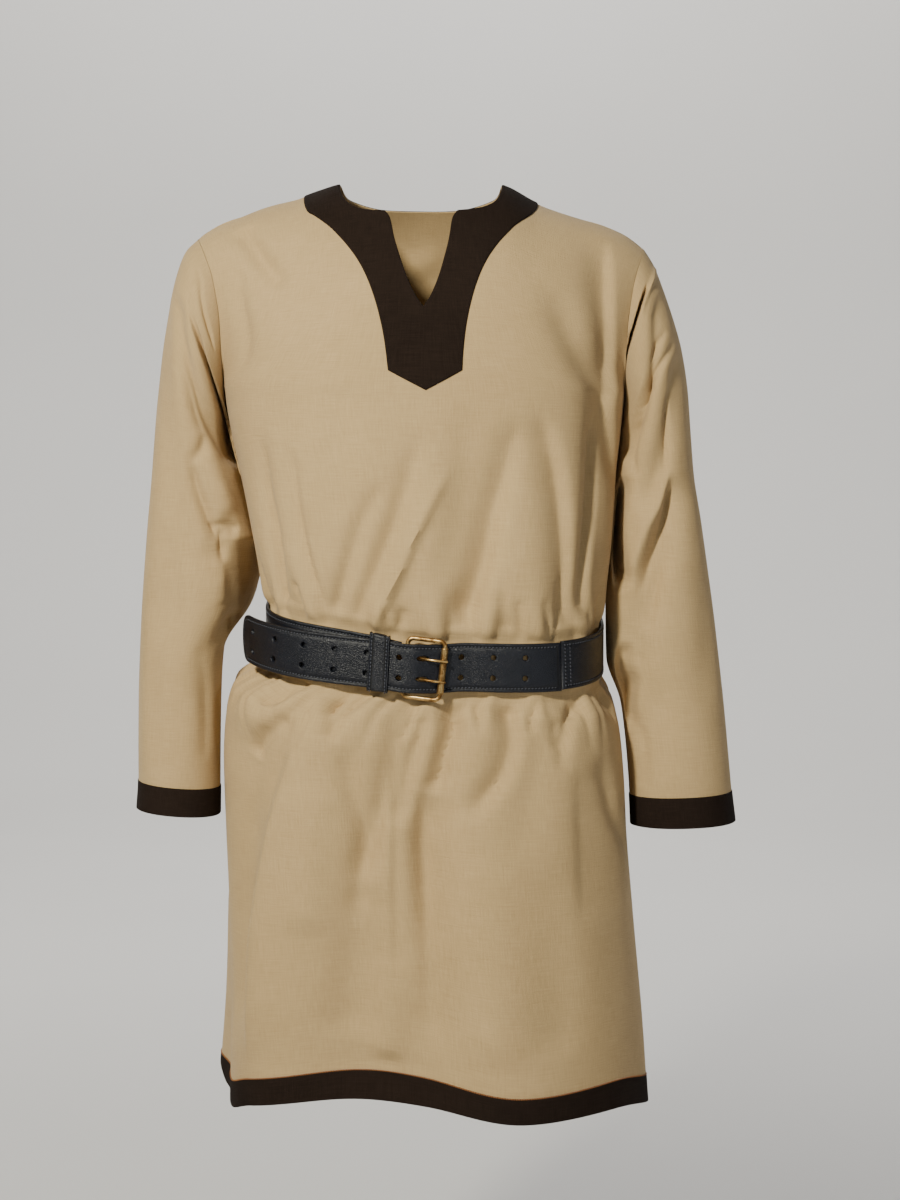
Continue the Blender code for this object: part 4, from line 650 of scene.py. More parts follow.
def body_base(across, up, face):
    """Smooth outer surface of the front or the back. Across runs -1 to 1, up is metres up the cloth."""
    rise = cap_rise(up)
    level = np.where(up > ARMPIT, ARMPIT * (1 - rise), np.maximum(up, HEM))
    form = form_level(across, level, face)
    wide, deep = across_shares(across, form)
    left, right = section("left", form), section("right", form)
    x = (left + right) / 2 + (right - left) / 2 * wide
    middle = section(FACE_NAMES[face], form)
    centre = SHOULDER_Y + (middle - SHOULDER_Y) * np.sqrt(np.maximum(1 - rise**CHEST_TURN, 0))
    bow = (2 * np.sqrt(np.maximum(rise * (1 - rise), 0))) ** ARMHOLE_ROUND
    soft_bow = soft_step(level, *ARMHOLE_SOFT) * np.where(rise > 0.5, bow, 1.0)
    bow = soft_bow + (bow - soft_bow) * np.minimum(np.abs(across), 1) ** ARMHOLE_POWER
    edge = SHOULDER_Y + face * ARMHOLE_REACH[face] * bow
    y = edge + (centre - edge) * deep
    dip = HEM_DIP * across**4 * soft_step(-level, -HEM_DIP_TOP, -HEM)
    drop = line_of(HEM_DROPS[face], DROP_COLUMNS)(across)
    dip = dip + drop * soft_step(-level, -DROP_FROM, -DROP_TO)
    low_z = level + lean("across", level) * x + lean("back", level) * y - dip
    armpit_z = ARMPIT + lean("across", ARMPIT) * x
    high_z = armpit_z + (shoulder_z(x) - armpit_z) * rise
    return np.stack([x, y, np.where(up > ARMPIT, high_z, low_z)], axis=-1)


def segment_fold(p, q, start, end, half_width, at_start, at_end):
    """Height at (p, q) of a soft trough or ridge that follows a straight segment."""
    run = np.subtract(end, start)
    share = ((p - start[0]) * run[0] + (q - start[1]) * run[1]) / (run @ run)
    held = np.clip(share, 0, 1)
    away = np.hypot(p - start[0] - held * run[0], q - start[1] - held * run[1])
    ends = soft_step(share, -FOLD_FADE, FOLD_FADE) * soft_step(1 - share, -FOLD_FADE, FOLD_FADE)
    return (at_start + (at_end - at_start) * held) * ends * np.exp(-((away / half_width) ** 2))


def gathers(across, level, face):
    """Height of the gathers, which die out above and below the belt."""
    wave = np.cos(math.pi * GATHERS * (across + GATHER_SWAY * np.sin(SWAY_WAVES * across + face)))
    spread = np.where(level > WAIST, GATHER_SPREAD["above"], GATHER_SPREAD["below"])
    away = np.maximum(np.abs(level - WAIST) - BELT_WIDTH / 2, 0) / spread
    bounce = 1 + GATHER_BOUNCE * np.sin(BOUNCE_WAVES * away)
    return GATHER_DEPTH * wave * np.exp(-GATHER_FALL * away**2) * bounce


def smooth_path(points, steps):
    """Points along a smooth curve through the given ones."""
    points = np.asarray(points, float)
    ends = np.concatenate([[2 * points[0] - points[1]], points, [2 * points[-1] - points[-2]]])
    t = np.linspace(0, len(points) - 1, steps)
    i = np.clip(t.astype(int), 0, len(points) - 2)
    t = (t - i)[:, None]
    a, b, c, d = ends[i], ends[i + 1], ends[i + 2], ends[i + 3]
    return (2 * b + (c - a) * t + (2 * a - 5 * b + 4 * c - d) * t**2 + (3 * b - a - 3 * c + d) * t**3) / 2


def crease(p, q, path, left, right, heights, sharp):
    """Height at (p, q) of a crease along a path, with its own width on each side, in metres."""
    steps = CREASE_STEPS * len(path)
    line = smooth_path(path, steps)
    reach = CREASE_REACH * max(left, right)
    low, high = line.min(axis=0) - reach, line.max(axis=0) + reach
    near = np.nonzero((p > low[0]) & (p < high[0]) & (q > low[1]) & (q < high[1]))[0]
    result = np.zeros(len(p))
    if not len(near):
        return result
    best = np.full(len(near), np.inf)
    along, side = np.zeros(len(near)), np.zeros(len(near))
    lengths = np.linalg.norm(np.diff(line, axis=0), axis=1)
    before = np.concatenate([[0], np.cumsum(lengths)])
    for k in range(steps - 1):
        run = line[k + 1] - line[k]
        x, y = p[near] - line[k, 0], q[near] - line[k, 1]
        share = np.clip((x * run[0] + y * run[1]) / max(run @ run, 1e-12), 0, 1)
        away = np.hypot(x - share * run[0], y - share * run[1])
        closer = away < best
        best = np.where(closer, away, best)
        along = np.where(closer, (before[k] + share * lengths[k]) / before[-1], along)
        side = np.where(closer, run[0] * y - run[1] * x, side)
    wide = np.where(side > 0, right, left)
    height = np.interp(along, np.linspace(0, 1, len(heights)), heights)
    fade = soft_step(along, -0.02, CREASE_FADE) * soft_step(1 - along, -0.02, CREASE_FADE)
    result[near] = height * fade * np.exp(-((best / wide) ** (2 - 0.8 * sharp)))
    return result


def project(points):
    """Pixels of the photograph at which points are seen."""
    c, s = math.cos(TILT), math.sin(TILT)
    ahead, high = points[..., 1] - CAMERA_Y, points[..., 2] - CAMERA_Z
    depth = ahead * c - high * s
    u = IMAGE_WIDTH / 2 + FOCAL_PIXELS * (points[..., 0] - CAMERA_X) / depth
    v = IMAGE_HEIGHT / 2 - FOCAL_PIXELS * (ahead * s + high * c) / depth
    return np.stack([u, v], axis=-1)


def crease_sizes(rows, depth, steepest=STEEPEST):
    """Paths of creases as their rows give them, and sizes in metres, held to a steepest slope."""
    for row in rows:
        found = dict(zip(CREASE_COLUMNS, row))
        widths = found["left"] * MM, found["right"] * MM
        limit = steepest * min(widths)
        heights = np.clip(np.array(found["heights"]) * MM * depth, -limit, limit)
        yield found["path"], (*widths, heights, found["sharp"])


def seen_creases(rows, depth, points, places, steepest=STEEPEST):
    """Creases along pixels, moved to the places of a surface whose points are seen at those pixels."""
    pixels = project(points)
    creases = []
    for path, sizes in crease_sizes(rows, depth, steepest):
        found = [np.argmin(np.sum((pixels - pixel) ** 2, axis=1)) for pixel in path]
        creases.append(([tuple(places[k]) for k in found], *sizes))
    return creases


def body_creases(face):
    """Creases of the front or the back, as paths in metres across and up the cloth, and their sizes."""
    depth = CREASE_DEPTH["body"]
    if face == FRONT:
        across, up = np.meshgrid(np.linspace(-1, 1, 321), np.linspace(HEM, CAP_TOP - 0.01, 521))
        across, up = across.ravel(), up.ravel()
        places = np.stack([across * HALF_GIRTH, up], axis=1)
        creases = seen_creases(SEEN_CREASES["front"], depth, body_base(across, up, face), places)
    else:
        creases = [([(share * HALF_GIRTH, float(level_up(level))) for share, level in path], *sizes)
                   for path, sizes in crease_sizes(HIDDEN_CREASES["back"], depth)]
    return creases + belt_tucks(face)


def belt_tucks(face):
    """Small uneven tucks that the belt draws into the cloth above and below it."""
    random = np.random.default_rng(TUCK_SEED[face])
    tucks = []
    for way in (1, -1):
        for k in range(TUCKS):
            share = -TUCK_SPREAD + 2 * TUCK_SPREAD * (k + random.uniform(0.1, 0.9)) / TUCKS
            across = share * HALF_GIRTH
            start = float(np.interp(share, *BELT_TOPS[face])) if way > 0 else WAIST - 0.030
            length = random.uniform(*TUCK_LENGTHS)
            sway = random.uniform(-TUCK_SWAY, TUCK_SWAY)
            path = [(across, start - way * TUCK_START),
                    (across + sway * length / 2, start + way * length / 2),
                    (across + sway * length * 1.3, start + way * length)]
            wide = random.uniform(*TUCK_WIDTHS)
            depth = -random.uniform(*TUCK_DEPTHS)
            sizes = (wide, wide * random.uniform(0.7, 1.4), depth * np.array(TUCK_HEIGHTS))
            tucks.append((path, *sizes, random.uniform(0, 0.6)))
    return tucks


def soft_waves(p, q, seed, height):
    """Low uneven waves of hanging cloth, longer up the cloth than across it."""
    random = np.random.default_rng(seed)
    total = np.zeros(len(p))
    for _ in range(WAVES):
        across, up = random.uniform(*WAVES_ACROSS), random.uniform(*WAVES_UP)
        total += random.uniform(0.3, 1.0) * np.sin(across * p + up * q + random.uniform(0, 2 * math.pi))
    return height * total / math.sqrt(WAVES)


def body_height(across, up, face):
    """Height of gathers, folds and creases together, held flat under the belt and at the side seams."""
    p, level = across * HALF_GIRTH, up_level(up)
    total = gathers(across, level, face)
    for row in FOLDS[face]:
        fold = dict(zip(FOLD_COLUMNS, row))
        start = (fold["across_top"] * HALF_GIRTH, fold["level_top"])
        end = (fold["across_low"] * HALF_GIRTH, fold["level_low"])
        sizes = fold["half_width"], fold["at_top"], fold["at_low"]
        total = total + segment_fold(p, level, start, end, *sizes)
    for sizes in BODY_CREASES[face]:
        total = total + crease(p, up, *sizes)
    total = total + soft_waves(p, up, TUCK_SEED[face], WAVE_HEIGHT["body"])
    top = np.interp(across, *BELT_TOPS[face])
    hold = np.where(level > WAIST, soft_step(level - top, *BELT_HOLD["above"]),
                    soft_step(WAIST - level, *BELT_HOLD["below"]))
    flat = np.clip(total, -GATHER_DEPTH, GATHER_DEPTH)
    held = flat + (total - flat) * hold
    return held * (1 - np.minimum(np.abs(across), 1) ** SEAM_HOLD)


def slopes(surface, p, q, low, high, step=SLOPE_STEP):
    """Changes of a surface along each of its two parameters; the second stays within its limits."""
    by_p = surface(p + step, q) - surface(p - step, q)
    by_q = surface(p, np.minimum(q + step, high)) - surface(p, np.maximum(q - step, low))
    return by_p, by_q


def normal_of(surface, p, q, low, high, step=SLOPE_STEP):
    by_p, by_q = slopes(surface, p, q, low, high, step)
    return unit(np.cross(by_p, by_q))


def body_cloth(p, q, face):
    """Outer surface of the front or the back, p metres across the cloth and q up it."""
    across = p / HALF_GIRTH
    normal = -face * normal_of(lambda a, b: body_base(a, b, face), across, q, HEM, CAP_TOP)
    point = body_base(across, q, face) + normal * body_height(across, q, face)[..., None]
    point[..., 1] += face * SEAM / 8
    return point


def sleeve_ring(name, row, turn):
    """Plain ring of a sleeve at a row of its table."""
    value = {key: curve(SLEEVES[name], SLEEVE_COLUMNS, "row", key, row) for key in SLEEVE_COLUMNS[1:]}
    c, s = np.cos(turn * math.pi / 2), np.sin(turn * math.pi / 2)
    size = (np.abs(c) ** SLEEVE_CORNER + np.abs(s) ** SLEEVE_CORNER) ** (1 / SLEEVE_CORNER)
    c, s = c / size, s / size
    x = (value["outer_x"] + value["inner_x"]) / 2 + (value["outer_x"] - value["inner_x"]) / 2 * c
    z = (value["outer_z"] + value["inner_z"]) / 2 + (value["outer_z"] - value["inner_z"]) / 2 * c
    y = (value["front"] + value["back"]) / 2 - (value["back"] - value["front"]) / 2 * s
    return np.stack([x, y, z], axis=-1)


def sleeve_base(name, row, turn):
    """Smooth outer surface of a sleeve, which starts exactly on the armhole of the body."""
    up = cap_up((1 + np.cos(turn * math.pi / 2)) / 2)
    side = np.full(np.shape(turn), float(SIDE[name]))
    in_front = (np.mod(turn, 4) <= 2)[..., None]
    armhole = np.where(in_front, body_base(side, up, FRONT), body_base(side, up, BACK))
    seam = armhole - sleeve_ring(name, np.zeros_like(row), turn)
    return sleeve_ring(name, row, turn) + seam * (1 - soft_step(row, 0, SEAM_ROWS))[..., None]


def sleeve_creases(name):
    """Creases and hollows of a sleeve, as paths in metres round it and down it, and their sizes."""
    row, turn = np.meshgrid(np.linspace(0, CUFF_END, 421), np.linspace(0.0, 2.0, 161))
    row, turn = row.ravel(), turn.ravel()
    points = sleeve_base(name, row, turn)
    places = np.stack([turn * QUARTER_TURN, row * ROW_LENGTH], axis=1)
    depth = CREASE_DEPTH["sleeve"]
    creases = seen_creases(SEEN_CREASES[name], depth, points, places)
    for path, sizes in crease_sizes(HIDDEN_CREASES[name], depth):
        creases.append(([(turn * QUARTER_TURN, row * ROW_LENGTH) for row, turn in path], *sizes))
    return creases, seen_creases(HOLLOWS[name], 1.0, points, places, math.inf)


def along_creases(name, p, q, creases):
    """Height of all these creases of a sleeve at p metres round it and q down it."""
    total = np.zeros(len(p))
    whole = 4 * QUARTER_TURN
    for path, left, right, heights, sharp in creases:
        if SIDE[name] < 0:
            left, right = right, left
        middle = np.mean([place[0] for place in path])
        near_p = np.mod(p - middle + whole / 2, whole) + middle - whole / 2
        total += crease(near_p, q, path, left, right, heights, sharp)
    return total


def sleeve_cloth(name, row, turn, creases, hollows):
    """Outer surface of a sleeve with its folds, its creases, and its hollows pressed straight back."""
    shape = row.shape
    row, turn = row.ravel(), turn.ravel()
    p, q = np.mod(turn, 4) * QUARTER_TURN, row * ROW_LENGTH
    total = np.zeros(len(p))
    for values in SLEEVE_FOLDS[name]:
        fold = dict(zip(SLEEVE_FOLD_COLUMNS, values))
        start = (fold["row_top"] * ROW_LENGTH, fold["turn_top"] * QUARTER_TURN)
        end = (fold["row_low"] * ROW_LENGTH, fold["turn_low"] * QUARTER_TURN)
        total += segment_fold(q, p, start, end, fold["half_width"], fold["at_top"], fold["at_low"])
    total += along_creases(name, p, q, creases)
    round_p = np.sin(p / QUARTER_TURN * math.pi / 2) * QUARTER_TURN
    total += soft_waves(round_p, q, SLEEVE_SEED + SIDE[name], WAVE_HEIGHT["sleeve"])
    at_body = np.exp(-((np.mod(turn, 4) - 2) / REST_TURN) ** 2) * soft_step(row, *REST_ROWS)
    total *= soft_step(row, 0.05, 0.9) * (1 - 0.9 * at_body)
    normal = SIDE[name] * normal_of(lambda a, b: sleeve_base(name, b, a), turn, row, 0, CUFF_END)
    point = sleeve_base(name, row, turn) + total[:, None] * normal
    point[:, 0] += SIDE[name] * SEAM
    point[:, 1] += along_creases(name, p, q, hollows)
    return point.reshape(*shape, 3)


def face_normals(points, faces):
    """Unit normals at the points of a mesh whose faces all have the same number of corners."""
    corner = points[faces]
    turned = np.cross(corner[:, 2] - corner[:, 0], corner[:, -1] - corner[:, 1])
    total = np.zeros_like(points)
    for k in range(faces.shape[1]):
        for axis in range(3):
            total[:, axis] += np.bincount(faces[:, k], turned[:, axis], len(points))
    return unit(total)


def grid_faces(rows, columns, closed):
    """Four-cornered faces of a grid, and the same with the corners of a closing column kept apart."""
    last = columns if closed else columns - 1
    row, column = np.meshgrid(np.arange(rows - 1), np.arange(last), indexing="ij")
    row, column = row.ravel(), column.ravel()
    ring = ((row, column), (row, column + 1), (row + 1, column + 1), (row + 1, column))
    faces = np.stack([r * columns + c % columns for r, c in ring], axis=1)
    apart = np.stack([r * (columns + 1) + c for r, c in ring], axis=1)
    return faces, apart


def rim_edges(faces):
    """Corners of the faces where an edge starts that no other face shares."""
    starts = faces.ravel()
    ends = np.roll(faces, -1, axis=1).ravel()
    size = int(faces.max()) + 1
    code = np.minimum(starts, ends) * size + np.maximum(starts, ends)
    found, where, count = np.unique(code, return_inverse=True, return_counts=True)
    return np.nonzero(count[where.ravel()] == 1)[0]


def shell(name, outer, inner, faces, uv, uv_faces, edge, finish):
    """Closed piece between outer and inner points that have the same faces, with rims that join them."""
    count, corners = len(outer), faces.shape[1]
    rims = rim_edges(faces)
    rows, places = rims // corners, rims % corners
    nexts = (places + 1) % corners
    a, b = faces[rows, places], faces[rows, nexts]
    rim_faces = np.stack([b, a, a + count, b + count], axis=1)
    mesh = bpy.data.meshes.new(name)
    all_faces = [*faces.tolist(), *(faces[:, ::-1] + count).tolist(), *rim_faces.tolist()]
    mesh.from_pydata(np.concatenate([outer, inner]).tolist(), [], all_faces)
    ua, ub = uv_faces[rows, places], uv_faces[rows, nexts]
    flat = np.concatenate([uv_faces.ravel(), uv_faces[:, ::-1].ravel(),
                           np.stack([ub, ua, ua, ub], axis=1).ravel()])
    layer = mesh.uv_layers.new(name=CLOTH_UV)
    layer.data.foreach_set("uv", uv[flat].astype(np.float32).ravel())
    attribute = mesh.attributes.new(EDGE, "FLOAT", "POINT")
    attribute.data.foreach_set("value", np.concatenate([edge, edge]).astype(np.float32))
    return finished(name, mesh, finish)


def finished(name, mesh, finish):
    """Object of a mesh, smooth but for its sharp corners, with its finish."""
    mesh.materials.append(finish)
    mesh.shade_smooth()
    mesh.set_sharp_from_angle(angle=SHARP_ANGLE)
    piece = bpy.data.objects.new(name, mesh)
    bpy.context.scene.collection.objects.link(piece)
    return piece


def inside(points, outline):
    """Which points lie inside a closed outline, in batches that keep the arrays small."""
    a = np.asarray(outline)
    b = np.roll(a, -1, axis=0)
    rise = np.where(b[:, 1] == a[:, 1], 1.0, b[:, 1] - a[:, 1])
    result = []
    for batch in np.array_split(points, max(1, len(points) // 4000)):
        x, y = batch[:, 0:1], batch[:, 1:2]
        crosses = (a[:, 1] > y) != (b[:, 1] > y)
        at_x = a[:, 0] + (y - a[:, 1]) / rise * (b[:, 0] - a[:, 0])
        result.append(np.sum(crosses & (x < at_x), axis=1) % 2 == 1)
    return np.concatenate(result)


def fine_loop(loop, step):
    """A closed outline with a point at least every step."""
    points = []
    for start, end in zip(loop, [*loop[1:], loop[0]]):
        count = max(1, math.ceil(math.dist(start, end) / step))
        for k in range(count):
            points.append(tuple(a + (b - a) * (k / count) for a, b in zip(start, end)))
    return points


def nearest(points, loops):
    """Distance of each point from the nearest of the outlines, through their finely spaced points."""
    samples = [point for loop in loops for point in fine_loop(loop, 0.0006)]
    tree = KDTree(len(samples))
    for k, (x, y) in enumerate(samples):
        tree.insert((x, y, 0), k)
    tree.balance()
    return np.array([tree.find((x, y, 0))[2] for x, y in points])


def triangulate(outline, holes, lines, lattice, keep_off):
    """Triangles of a flat region: its points, and their corners turned the same way."""
    loops = [outline, *holes, *lines]
    lattice = np.asarray(lattice, float).reshape(-1, 2)
    keep_off = np.broadcast_to(keep_off, len(lattice))
    lattice = lattice[inside(lattice, outline) & (nearest(lattice, loops) > keep_off)]
    points, edges = [], []
    for loop in loops:
        first = len(points)
        points.extend(loop)
        edges.extend((first + i, first + (i + 1) % len(loop)) for i in range(len(loop)))
    points.extend(lattice)
    found = delaunay_2d_cdt([Vector(point) for point in points], edges, [], 0, 1e-7)
    flat = np.array([tuple(point) for point in found[0]])
    triangles = np.array(found[2])
    middles = flat[triangles].mean(axis=1)
    kept = inside(middles, outline)
    for hole in holes:
        kept &= ~inside(middles, hole)
    triangles = triangles[kept]
    corner = flat[triangles]
    one, two = corner[:, 1] - corner[:, 0], corner[:, 2] - corner[:, 0]
    turned = one[:, 0] * two[:, 1] - one[:, 1] * two[:, 0] < 0
    triangles[turned] = triangles[turned][:, ::-1]
    return flat, triangles


def region_shell(name, flat, triangles, outer, inner, edge, finish, flipped=False):
    """Closed piece over some triangles of a flat region, from outer and inner points of them all."""
    used, faces = np.unique(triangles, return_inverse=True)
    faces = faces.reshape(triangles.shape)
    if flipped:
        faces = faces[:, ::-1]
    return shell(name, outer[used], inner[used], faces, flat[used], faces, edge[used], finish)


def grid_shell(name, outer, inner, closed, uv, edge, finish):
    """Closed piece between two grids of points, whose rows run down and whose columns run round."""
    rows, columns = outer.shape[:2]
    faces, apart = grid_faces(rows, columns, closed)
    return shell(name, outer.reshape(-1, 3), inner.reshape(-1, 3), faces, uv.reshape(-1, 2),
                 apart if uv.shape[1] > columns else faces, edge.reshape(-1), finish)


def seen_at(x, z, face):
    """Place on the cloth of the point that is seen at x and z; with no z it is on the shoulder line."""
    if z is None:
        left, right = section("left", 0), section("right", 0)
        return np.array([(x - (left + right) / 2) / (right - left) * 2 * HALF_GIRTH, CAP_TOP])
    place = np.array([x / FIRST_HALF_WIDTH, cap_up(np.clip(1 - (shoulder_z(x) - z) / -ARMPIT, 0, 1))])
    for _ in range(20):
        here = body_base(place[0], place[1], face)[[0, 2]]
        by_p, by_q = slopes(lambda a, b: body_base(a, b, face), place[0], place[1], HEM, CAP_TOP)
        change = np.stack([by_p[[0, 2]], by_q[[0, 2]]], axis=1) / (2 * SLOPE_STEP)
        place = place + np.linalg.solve(change, np.array([x, z]) - here)
        place[1] = min(place[1], CAP_TOP - SLOPE_STEP)
    return place * (HALF_GIRTH, 1)


def neck_line(half, face, step):
    """Both halves of a neck line, from the right shoulder to the left one, smooth between corners."""
    rows = [dict(zip(NECK_COLUMNS, row)) for row in half]
    both = [(1, row) for row in rows] + [(-1, row) for row in reversed(rows[:-1])]
    seen = [seen_at(NECK_AXIS + NECK_AXIS_LEAN * (row["z"] or 0) + side * row["x"], row["z"], face)
            for side, row in both]
    corners = [k for k, (_, row) in enumerate(both) if row["corner"]]
    points = []
    for start, end in zip(corners, corners[1:]):
        run = np.array(seen[start:end + 1])
        length = np.sum(np.linalg.norm(np.diff(run, axis=0), axis=1))
        points.extend(map(tuple, smooth_path(run, max(2, round(length / step) + 1))[:-1]))
    return points + [tuple(seen[-1])]


def offset_points(loop, away):
    """Points beside a closed outline that turns to the left, on its inner side."""
    loop = np.array(loop)
    run = unit(np.roll(loop, -1, axis=0) - np.roll(loop, 1, axis=0))
    area = np.sum(loop[:, 0] * np.roll(loop[:, 1], -1) - loop[:, 1] * np.roll(loop[:, 0], -1))
    side = np.stack([-run[:, 1], run[:, 0]], axis=1) * np.sign(area)
    return loop + side * away


def rounded(edge, radius):
    """Share of the full thickness at a distance from a rounded edge."""
    return np.sqrt(np.maximum(1 - (1 - np.minimum(edge / radius, 1)) ** 2, 0))


def panel_outline(face, neck, edge):
    """Outline of the front or the back, from its lower corner at one side round to the other one."""
    step = LATTICE[face]
    columns = np.linspace(-HALF_GIRTH, HALF_GIRTH, round(2 * HALF_GIRTH / step) + 1)
    side_ups = np.linspace(BAND_TOP, ARMPIT, round((ARMPIT - BAND_TOP) / step) + 1)[1:-1]
    turns = np.linspace(0, 2, SLEEVE_AROUND // 2 + 1)
    armhole_ups = cap_up((1 + np.cos(turns * math.pi / 2)) / 2)
    outline = [(x, BAND_TOP) for x in columns]
    outline += [(HALF_GIRTH, up) for up in (*side_ups, *armhole_ups[::-1])]
    outline += [(x, CAP_TOP) for x in np.linspace(HALF_GIRTH, edge[0][0], SHOULDER_POINTS)[1:-1]]
    outline += [edge[0], *neck, edge[-1]]
    outline += [(x, CAP_TOP) for x in np.linspace(-HALF_GIRTH, edge[-1][0], SHOULDER_POINTS)[-2:0:-1]]
    outline += [(-HALF_GIRTH, up) for up in (*armhole_ups, *side_ups[::-1])]
    return outline, columns


def panel_lattice(step, columns, facing_outline):
    """Points inside a panel, finer on its facing, and how far each keeps from every line."""
    plain = []
    for k, up in enumerate(np.arange(BAND_TOP + step * ROW_SHARE, CAP_TOP, step * ROW_SHARE)):
        shift = step / 2 * (k % 2)
        plain += [(x + shift, up) for x in columns[1:-1] if abs(x + shift) < HALF_GIRTH]
    plain = np.array(plain)
    box = zip(np.min(facing_outline, axis=0), np.max(facing_outline, axis=0))
    fine = np.meshgrid(*[np.arange(low, high, FACING_LATTICE) for low, high in box])
    fine = np.stack(fine, axis=-1).reshape(-1, 2)
    groups = [
        (plain[~inside(plain, facing_outline)], step * KEEP_OFF_SHARE),
        (fine[inside(fine, facing_outline)], FACING_KEEP_OFF),
        *[(offset_points(facing_outline, away), near) for away, near in FACING_INSETS],
    ]
    points = np.concatenate([group for group, _ in groups])
    return points, np.concatenate([np.full(len(group), near) for group, near in groups])


def panel(face, tan, brown):
    """The front or the back, and the part of the neck facing that lies on it."""
    name, flipped = FACE_NAMES[face], face == BACK
    neck, edge = (neck_line(half, face, FACING_LATTICE) for half in (NECK[face], FACING_EDGE[face]))
    outline, columns = panel_outline(face, neck, edge)
    facing_outline = edge + neck[::-1]
    lattice, keep_off = panel_lattice(LATTICE[face], columns, facing_outline)
    flat, triangles = triangulate(outline, [], [facing_outline], lattice, keep_off)
    points = body_cloth(flat[:, 0], flat[:, 1], face)
    normals = face_normals(points, triangles[:, ::-1] if flipped else triangles)
    at_edge = nearest(flat, [outline])
    cloth = region_shell(f"{name}_cloth", flat, triangles, points, points - normals * CLOTH,
                         at_edge, tan, flipped)
    on_facing = inside(flat[triangles].mean(axis=1), facing_outline)
    at_edge = nearest(flat, [facing_outline])
    thick = FACING * (0.2 + 0.8 * rounded(at_edge, FACING_ROUND))
    high, low = points + normals * (FACING_GAP + thick)[:, None], points + normals * FACING_GAP
    facing = region_shell(f"neck_facing_{name}_cloth", flat, triangles[on_facing], high, low,
                          at_edge, brown, flipped)
    return cloth, facing, facing_outline


def banded(name, points, faces_closed, uv, profile, finish):
    """Closed band on a grid of points of the cloth, with its outer points and their normals."""
    rows, columns = points.shape[:2]
    faces, _ = grid_faces(rows, columns, faces_closed)
    normals = face_normals(points.reshape(-1, 3), faces).reshape(points.shape)
    edge = np.minimum(profile, profile[-1] - profile)[:, None] * np.ones(columns)
    half = (CLOTH + BAND_PROUD) / 2
    share = (0.3 + 0.7 * rounded(edge, BAND_ROUND))[..., None]
    centre = points - normals * (CLOTH - BAND_PROUD) / 2
    outer, inner = centre + normals * half * share, centre - normals * half * share
    piece = grid_shell(name, outer, inner, faces_closed, uv, edge, finish)
    return piece, outer, normals


def hem_band(face, brown):
    """Band along the lower edge of the front or the back, with its outer points and their normals."""
    profile = np.array(BAND_PROFILE)
    across = np.linspace(-1, 1, 2 * round(HALF_GIRTH / LATTICE[face]) + 1)[::face]
    ups, wide = np.meshgrid(BAND_TOP - SEAM - profile, across, indexing="ij")
    points = body_cloth(wide.ravel() * HALF_GIRTH, ups.ravel(), face).reshape(*ups.shape, 3)
    uv = np.stack([wide * HALF_GIRTH, ups], axis=-1)
    return banded(f"hem_band_{FACE_NAMES[face]}_cloth", points, False, uv, profile, brown)


def sleeve(name, tan, brown):
    """A sleeve, and the band of its cuff with its outer points and their normals."""
    creases, hollows = sleeve_creases(name)
    turns = np.arange(SLEEVE_AROUND) * 4 / SLEEVE_AROUND
    turns = turns if SIDE[name] > 0 else turns[::-1]
    open_turns = np.append(turns, turns[-1] + turns[1] - turns[0])

    def laid(rows):
        """The row, the point and the flat place of each point of some rows."""
        row_grid, turn_grid = np.meshgrid(rows, turns, indexing="ij")
        uv = np.stack(np.meshgrid(open_turns * QUARTER_TURN, -rows * ROW_LENGTH), axis=-1)
        return row_grid, sleeve_cloth(name, row_grid, turn_grid, creases, hollows), uv

    row_grid, points, uv = laid(np.linspace(0, SLEEVE_END, SLEEVE_ROWS + 1))
    faces, _ = grid_faces(SLEEVE_ROWS + 1, len(turns), True)
    normals = face_normals(points.reshape(-1, 3), faces).reshape(points.shape)
    edge = np.minimum(row_grid, SLEEVE_END - row_grid) * ROW_LENGTH
    cloth = grid_shell(f"{name}_cloth", points, points - normals * CLOTH, True, uv, edge, tan)

    profile = np.array(BAND_PROFILE)
    _, points, uv = laid(SLEEVE_END + (SEAM + profile) / (BAND_PROFILE[-1] + SEAM))
    cuff = banded(name.replace("sleeve", "cuff_band") + "_cloth", points, True, uv, profile, brown)
    return cloth, cuff


def waist_path():
    """Closed line of the cloth under the middle of the belt, with its distance from the buckle."""
    across = np.linspace(-1, 1, WAIST_STEPS + 1)
    up = np.full(len(across), WAIST)
    loop = np.concatenate([body_base(across, up, FRONT), body_base(across[::-1], up, BACK)[1:-1]])
    start = int(np.argmin(np.abs(loop[: len(across), 0])))
    loop = np.roll(loop, -start, axis=0)
    closed = np.concatenate([loop, loop[:1]])
    steps = np.linalg.norm(np.diff(closed, axis=0), axis=1)
    return closed, np.concatenate([[0], np.cumsum(steps)])


WAIST_LOOP, WAIST_RUN = waist_path()
BELT_LOOP = float(WAIST_RUN[-1])
STRAP_START = BELT_JOIN - BELT_LOOP + SEAM


def waist_at(along):
    wrapped = np.mod(along, BELT_LOOP)
    return np.stack([np.interp(wrapped, WAIST_RUN, WAIST_LOOP[:, k]) for k in range(3)], axis=-1)


def belt_place(along, across, out):
    """Point of the belt's frame: metres from the buckle, up the strap, and out from the cloth."""
    ahead, behind = waist_at(along + BELT_SMOOTH), waist_at(along - BELT_SMOOTH)
    tangent = unit(ahead - behind)
    outward = unit(np.cross(tangent, (0, 0, 1)))
    upward = np.cross(outward, tangent)
    smooth = (behind + 6 * waist_at(along) + ahead) / 8
    return smooth + outward * (BELT_GAP + out)[..., None] + upward * across[..., None]


